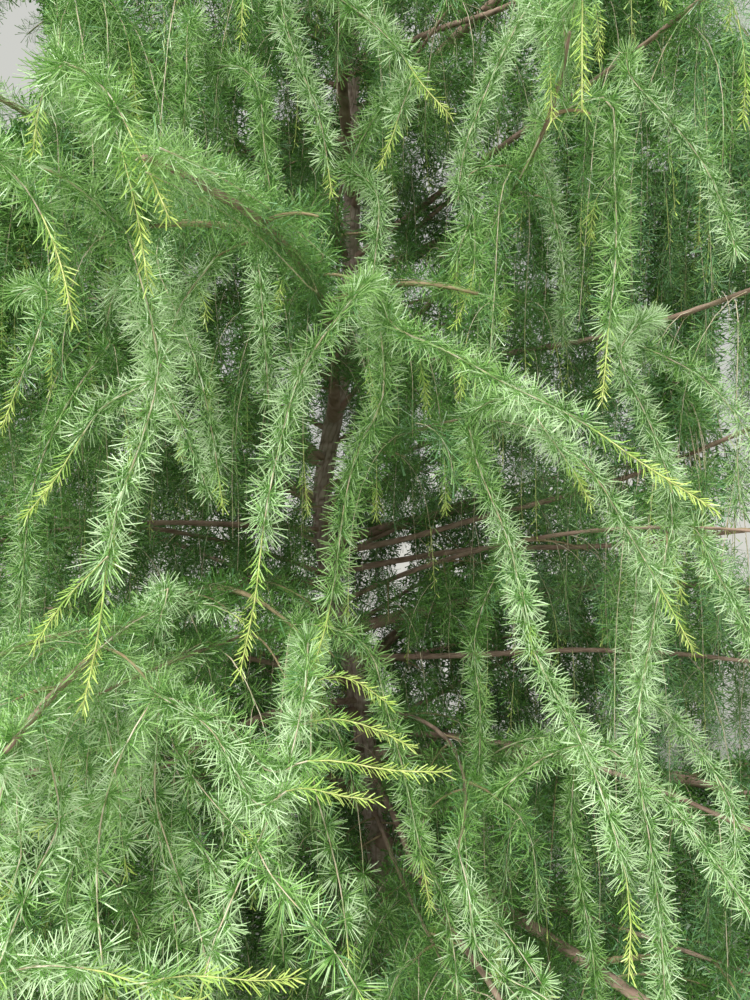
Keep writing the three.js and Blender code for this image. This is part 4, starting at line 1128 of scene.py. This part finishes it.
# Spurs stand on the shoots up to this year's growth, on the side twigs, close together on the outer two
# thirds of the limbs, and here and there on their bare inner third. Each gets a place, the line's direction,
# its number, limb and chance of a tone, its share along the line, its shoot and how far out it sits.
limb_lines, twig_lines = carriers[carrier_is_limb], carriers[~carrier_is_limb]
limb_lengths, twig_lengths = carrier_length[carrier_is_limb], carrier_length[~carrier_is_limb]
limb_of_line, limb_of_twig = carrier_limb[carrier_is_limb], carrier_limb[~carrier_is_limb]
BARE_FOOT = 0.32
leafy_from = BARE_FOOT * limb_lengths
bearers = [
    (shoots, TUFT_EVERY, np.full(len(shoots), 0.006), lengths(shoots) - tip_length, shoot_limb, shoot_tone),
    (twig_lines, LIMB_TUFT_EVERY, np.full(len(twig_lines), 0.015), twig_lengths, limb_of_twig,
     dice.random(len(twig_lines))),
    (limb_lines, LIMB_TUFT_EVERY, leafy_from, limb_lengths, limb_of_line, dice.random(len(limb_lines))),
    (limb_lines, BARE_TUFT_EVERY, np.full(len(limb_lines), 0.06), leafy_from, limb_of_line,
     np.full(len(limb_lines), 0.2)),
]
tufts = []
for lines, spacing, start, stop, limb, tone in bearers:
    line, number, far, place, along = marks(lines, spacing, start, stop, TUFT_WOBBLE)
    share = far / lengths(lines)[line]
    owner = line if lines is shoots else np.full(len(line), -1)
    sits = np.full(len(line), NEEDLE_SINK)
    if lines is limb_lines:
        sits = limb_radius(limb[line], CARRIER_FROM + (1 - CARRIER_FROM) * share)
    tufts.append((place, along, number, limb[line], tone[line], share, owner, sits))
place, along, number, limb, tone, share, owner, sits = (np.concatenate(each) for each in zip(*tufts))
stands_out = (owner >= 0) & is_shown_off[owner]

# A tuft is the lighter the farther out it stands and the nearer to the end of its shoot, with a chance that
# all the tufts of a shoot share. Farther in it is darker, partly as the inner needles' own deeper green and
# partly as painted shade. Tufts on the shoots that stand out get painted light, those behind a little painted
# shade, and the open low corner at the left painted light as well.
outness = np.linalg.norm((place - trunk_centre(place[:, 2]))[:, :2], axis=1)
outness = outness / np.maximum(limb_reach[limb], 0.2)
in_painted_light_corner = (place < PAINTED_LIGHT_CORNER).all(axis=1)
light = LIGHT_BY_OUTNESS * np.clip(outness, 0, 1.1) + LIGHT_BY_SHARE * share + LIGHT_BY_CHANCE * tone
light += np.where(stands_out, PAINTED_LIGHT_SHOWN, PAINTED_SHADE_BEHIND) + PAINTED_LIGHT_LOW * in_painted_light_corner
is_cool = (place[:, 0] > COOL_FROM) & (tone > COOL_CHANCES[0]) & (tone < COOL_CHANCES[1])
is_cool |= dice.random(len(place)) < COOL_SHARE
spur = round_twig(along, number * GOLDEN_ANGLE + 6.28 * tone)
spur = unit(spur + SPUR_AHEAD * along + TUFT_SCATTER * dice.normal(size=spur.shape))


def layers_before(across, down, depth):
    """How many other places stand nearer in the same square cell of the photograph: the rank by distance
    within each cell."""
    cell = (across // CELL).astype(int) * 4096 + (down // CELL).astype(int)
    order = np.lexsort((depth, cell))
    first = np.concatenate([[True], np.diff(cell[order]) != 0])
    start = np.maximum.accumulate(np.where(first, np.arange(len(order)), 0))
    rank = np.empty(len(order), dtype=int)
    rank[order] = np.arange(len(order)) - start
    return rank


# Tufts before the open stretches of wood stay bare, within a margin that is wider for the nearer ones.
across, down, depth, framed = framed_places(place, TUFT_MARGIN)
is_bare = framed & before_open_wood(across, down, depth, 5 + 12 / np.maximum(depth, 0.4)) & ~stands_out
layer = np.full(len(place), 999)
layer[framed] = layers_before(across[framed], down[framed], depth[framed])
zone = np.where(framed & (layer < DEEPER_LAYERS) & (depth < FAR), DEEPER, HIDDEN)
zone = np.where(framed & (layer < LAYERS_SEEN) & (depth < FAR), INNER, zone)
zone = np.where(framed & (zone == HIDDEN) & (depth >= FAR), BEYOND, zone)
zone = np.where(framed & ((depth < NEAR) | ((layer < FRONT_LAYERS) & (depth < MIDDLE))), FRONT, zone)
zone = np.where(stands_out & (depth < SHOWN_NEAR), SHOWN, zone)
in_star_patch = (zone == FRONT) & ~stands_out & (across < STAR_PATCH[0]) & (down > STAR_PATCH[1])
zone = np.where((stands_out & is_starry[owner]) | in_star_patch, STARS, zone)
# Painted shade: tufts in the inner and deeper layers of the view, and beyond them, take darker tones.
light -= PAINTED_SHADE_INSIDE * (zone == INNER) + PAINTED_SHADE_DEEP * ((zone == DEEPER) | (zone == BEYOND))
tuft_tone = np.where(light > LIGHT_ABOVE, LIGHT, np.where(light > MID_ABOVE, MID, DEEP))
for this_zone, (count, every, width) in enumerate(ZONES):
    mine = np.repeat(np.flatnonzero((zone == this_zone) & (number % every == 0) & ~is_bare), count)
    total = len(mine)
    turn = np.arange(total) % count
    polar = TUFT_SPREAD * ((turn + dice.random(total)) / count) ** SPREAD_POWER
    around = GOLDEN_ANGLE * turn + np.repeat(2 * np.pi * dice.random(total // count), count)
    direction = fan(spur[mine], polar, around + dice.normal(scale=TUFT_SCATTER, size=total))
    length = NEEDLE_LENGTH * dice.uniform(0.88, 1.08, total) * (1 - 0.18 * share[mine])
    corners = needle_corners(place[mine] + spur[mine] * sits[mine, None], direction, length,
                             width * dice.uniform(0.85, 1.15, total))
    tier = tier_of(limb[mine])
    tip_tone = tuft_tone[mine] + dice.choice([-1, 0, 0, 0, 0, 0, 1, 1], total)
    # Shown and star tufts: the tip goes one tone paler as painted highlight, the foot one darker as painted
    # shade.
    if this_zone in (SHOWN, STARS):
        tip_tone = np.clip(tip_tone + 1, DEEP, PAINTED_HIGHLIGHT)
        foot_tone = np.clip(tip_tone - 1, DEEP, MID)
        pile_whole(foot_tone, np.where((tip_tone == MID) & is_cool[mine], COOL, tip_tone), tier, *corners)
    else:
        foot, _, _, tip_left, tip_right = corners
        # Needles that the chance lifts to the pale tone carry painted highlight.
        tip_tone = np.clip(tip_tone, DEEP, PAINTED_HIGHLIGHT)
        pile(np.where((tip_tone == MID) & is_cool[mine], COOL, tip_tone), tier, foot, tip_left, tip_right)

# The young shoots
# Many shoots end in this year's growth: a soft yellow green twig set all round with single short needles
# that lean forwards and shrink towards the tip, where they open into a small brush.
YOUNG_NEEDLE_EVERY = 0.0011
YOUNG_NEEDLE_LENGTH = 0.0175
YOUNG_WIDTH, YOUNG_FAR_WIDTH = 1.15 * MM, 3.5 * MM
YOUNG_NEAR, FAR_EVERY = 1.1, 6
YOUNG_LEAN = np.radians(44)
END_BRUSH_FROM = 0.93
YOUNG_ABOVE, FRESH_ABOVE = 0.45, 0.12
SHORTEST_TIP = 0.015
shoot_length = lengths(shoots)
tipped = np.flatnonzero(tip_length > SHORTEST_TIP)
tip_from = (shoot_length - tip_length)[tipped]
tip_to = shoot_length[tipped]
line, number, far, place, along = marks(shoots[tipped], YOUNG_NEEDLE_EVERY, tip_from, tip_to, SHOOT_WOBBLE)
share = 1 - (tip_to[line] - far) / tip_length[tipped][line]
radial = round_twig(along, number * GOLDEN_ANGLE)
in_end_brush = share > END_BRUSH_FROM
lean = YOUNG_LEAN * np.where(in_end_brush, 0.75, 1) * dice.uniform(0.65, 1.35, len(place))
direction = np.cos(lean)[:, None] * along + np.sin(lean)[:, None] * radial
length = YOUNG_NEEDLE_LENGTH * np.where(in_end_brush, 0.8, 1.1 - 0.5 * share)
length = length * dice.uniform(0.75, 1.15, len(place))
_, _, depth, framed = framed_places(place, TUFT_MARGIN)
is_near = framed & (depth < YOUNG_NEAR)
ripeness = share + 0.25 * dice.random(len(place)) - 0.25 * shoot_tone[tipped][line]
tone = np.where(ripeness > YOUNG_ABOVE, YOUNG, np.where(ripeness > FRESH_ABOVE, FRESH, LIGHT))
tier = tier_of(shoot_limb[tipped][line])
for mine, width in [(is_near, YOUNG_WIDTH), (~is_near & (number % FAR_EVERY == 0), YOUNG_FAR_WIDTH)]:
    corners = needle_corners(place[mine], direction[mine], length[mine], np.full(mine.sum(), width))
    if width == YOUNG_WIDTH:
        pile_whole(tone[mine], tone[mine], tier[mine], *corners)
    else:
        foot, _, _, tip_left, tip_right = corners
        pile(tone[mine], tier[mine], foot, tip_left, tip_right)


def living_skin(name, dark, pale, size, detail, roughness, gloss):
    """A thin living skin under its wax: a plain colour that wanders between a darker and a paler one, by a
    noise of that size in metres."""
    material, shader = new_material(name)
    where = add_node(material, "ShaderNodeTexCoord").outputs["Object"]
    drift = add_node(material, "ShaderNodeTexNoise", {"Vector": where, "Scale": 1 / size, "Detail": detail})
    colour = ramp(material, drift.outputs["Fac"], [(0.3, dark), (0.7, pale)])
    material.node_tree.links.new(colour, shader.inputs["Base Color"])
    shader.inputs["Roughness"].default_value = roughness
    shader.inputs["Specular IOR Level"].default_value = gloss
    return material


def stretch(lines, start, stop, steps):
    """The part of each line from one share of its steps to another, on so many points."""
    at = (start[:, None] + (stop - start)[:, None] * np.linspace(0, 1, steps)) * (lines.shape[1] - 1)
    before = np.clip(np.floor(at).astype(int), 0, lines.shape[1] - 2)
    part = (at - before)[..., None]
    row = np.arange(len(lines))[:, None]
    return lines[row, before] * (1 - part) + lines[row, before + 1] * part, at / (lines.shape[1] - 1)


def shoot_girth(shoot, share):
    """A shoot's radius at a share of its length, which falls evenly from its root to its tip, and how stout
    the shoot is for its length."""
    radius = SHOOT_ROOT_RADIUS + (SHOOT_TIP_RADIUS - SHOOT_ROOT_RADIUS) * share
    return radius, np.clip(shoot_length[shoot] / FULL_LENGTH, 0.55, 1.15)[:, None]


def joined(parts):
    """Several arrays of points and faces as one."""
    first = np.cumsum([0] + [len(points) for points, _ in parts[:-1]])
    return (np.concatenate([points for points, _ in parts]),
            np.concatenate([faces + start for (_, faces), start in zip(parts, first)]))


# The shoots' own twigs have the more rings and sides the nearer they stand: first those that stand out, then
# those with tufts in front, then those farther in, and last the rest.
FULL_LENGTH = 0.3
BEHIND_SHARE = 0.78
young_from = 1 - tip_length / shoot_length
is_close = is_in_view.copy()
is_middle = np.zeros(len(shoots), bool)
is_close[owner[((zone == FRONT) | (zone == STARS)) & (owner >= 0)]] = True
is_middle[owner[((zone == INNER) | (zone == DEEPER)) & (owner >= 0)]] = True
straw_parts, green_parts = [], []
for chosen, rings, sides in [(is_in_view, 15, 4), (is_close & ~is_in_view, 8, 3),
                             (is_middle & ~is_close, 6, 3), (~is_close & ~is_middle, 4, 3)]:
    mine = np.flatnonzero(chosen)
    lines, share = stretch(shoots[mine], np.zeros(len(mine)), young_from[mine], rings)
    radius, stout = shoot_girth(mine, share)
    stout = stout * np.where(is_in_view[mine], 1, BEHIND_SHARE)[:, None]
    straw_parts.append(tubes(lines, (radius * stout)[..., None], sides))
    mine = mine[tip_length[mine] > SHORTEST_TIP]
    lines, share = stretch(shoots[mine], young_from[mine], np.ones(len(mine)), max(3, rings // 2))
    radius, stout = shoot_girth(mine, share)
    green_parts.append(tubes(lines, (0.05 * MM + 0.9 * radius * stout)[..., None], sides))

# Smooth bark of thin twigs: straw coloured and faintly waxy on last years' wood, and green and soft on this
# year's.
straw_bark = living_skin("straw_shoot_bark", "#cfb893", "#f0e8cf", 0.008, 2.0, 0.45, 0.5)
green_bark = living_skin("young_green_shoot", "#c6d274", "#e4e69c", 0.008, 2.0, 0.5, 0.5)
for name, parts, bark in [("hanging_shoot_bark", straw_parts, straw_bark),
                          ("young_shoot_bark", green_parts, green_bark)]:
    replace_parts(mesh_piece(name, *joined(parts), bark, "bark"), *foliage_nodes)

# The needles of the whole crown
# Larch needles are soft and nearly matt under a thin wax, which catches the light along them. Their colour
# wanders over 30 mm, so that a tuft differs a little from the next. All that the tufts and the young shoots
# have given are joined here by tone and by part of the crown, and a sort too large for one piece into two.
NEEDLE_ROUGHNESS, NEEDLE_GLOSS = 0.36, 0.55
LARGEST_PIECE = 190000
tier_nodes = [[foliage_nodes[i] for i in range(LIMB_COUNT) if tier_of(i) == tier] for tier in range(3)]
tier_nodes[2].append("foliage_leader")
needle_materials = {
    name: living_skin(f"{name}_needle", dark, pale, 0.03, 3.0, NEEDLE_ROUGHNESS, NEEDLE_GLOSS)
    for name, (dark, pale) in TONES.items()
}
for (tone, tier), parts in sorted(heaps.items()):
    triangles = np.concatenate(parts)
    for part in range(len(triangles) // LARGEST_PIECE + 1):
        own = triangles[part * LARGEST_PIECE:(part + 1) * LARGEST_PIECE]
        name = f"{TIERS[tier]}_{TONE_NAMES[tone]}_needles" + (f"_{part + 1}" if part else "")
        piece = mesh_piece(name, own.reshape(-1, 3), np.arange(3 * len(own)).reshape(-1, 3),
                           needle_materials[TONE_NAMES[tone]], "needles", smooth=False)
        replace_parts(piece, *tier_nodes[tier])

# The floor, the light and the camera
# A plain pale floor lies at ground level. The light is soft: a wide pale sky, a broad high lamp as even as
# an overcast sun, and a weak lamp near the camera.
FLOOR_RADIUS = 80.0
FLOOR_SIDES = 96
SKY_STRENGTH = 0.78
HIGH_LAMP_STRENGTH, HIGH_LAMP_WIDTH = 3.1, np.radians(24)
FRONT_LAMP_WATTS, FRONT_LAMP_SIZE = 47, 2.0
SENSOR_HEIGHT = 36.0
rim = 2 * np.pi * np.arange(FLOOR_SIDES) / FLOOR_SIDES
floor_points = FLOOR_RADIUS * np.stack([np.cos(rim), np.sin(rim), 0 * rim], axis=-1)

# Painted board, matt all over, so that it shows an even pale ground without a gloss.
floor_material, floor_shader = new_material("matt_painted_board")
floor_shader.inputs["Base Color"].default_value = linear("#bebdb7")
floor_shader.inputs["Roughness"].default_value = 0.95
floor_mesh = bpy.data.meshes.new("floor")
floor_mesh.from_pydata(floor_points.tolist(), [], [tuple(range(FLOOR_SIDES))])
floor_mesh.materials.append(floor_material)
floor = bpy.data.objects.new("floor", floor_mesh)
bpy.context.scene.collection.objects.link(floor)

world = bpy.data.worlds.new("pale_sky")
world.use_nodes = True
world.node_tree.nodes["Background"].inputs["Color"].default_value = linear("#e7e8e2")
world.node_tree.nodes["Background"].inputs["Strength"].default_value = SKY_STRENGTH
bpy.context.scene.world = world


def soft_lamp(name, kind, place, aim, power):
    """A lamp at a place, turned to face its aim."""
    lamp = bpy.data.lights.new(name, kind)
    lamp.energy = power
    holder = bpy.data.objects.new(name, lamp)
    place, aim = np.array(place), np.array(aim)
    away = unit(place - aim)
    holder.location = place
    holder.rotation_euler = (np.arccos(away[2]), 0, np.arctan2(away[1], away[0]) + np.pi / 2)
    bpy.context.scene.collection.objects.link(holder)
    return lamp


high_lamp = soft_lamp("high_lamp", "SUN", (-3.0, -4.0, 6.5), (0, 0, 1.5), HIGH_LAMP_STRENGTH)
high_lamp.angle = HIGH_LAMP_WIDTH
front_lamp = soft_lamp("front_lamp", "AREA", (-1.2, -3.4, 3.6), (-0.1, -0.9, 1.2), FRONT_LAMP_WATTS)
front_lamp.size = FRONT_LAMP_SIZE

camera_data = bpy.data.cameras.new("camera")
camera_data.sensor_fit = "VERTICAL"
camera_data.sensor_height = SENSOR_HEIGHT
camera_data.lens = SENSOR_HEIGHT * FOCAL_PIXELS / PHOTO_HEIGHT
camera_data.clip_start = 0.05
camera = bpy.data.objects.new("camera", camera_data)
camera.location = CAMERA_PLACE
camera.rotation_euler = (np.pi / 2 + CAMERA_PITCH, 0, 0)
bpy.context.scene.collection.objects.link(camera)
bpy.context.scene.camera = camera
bpy.context.scene.view_settings.view_transform = "Standard"
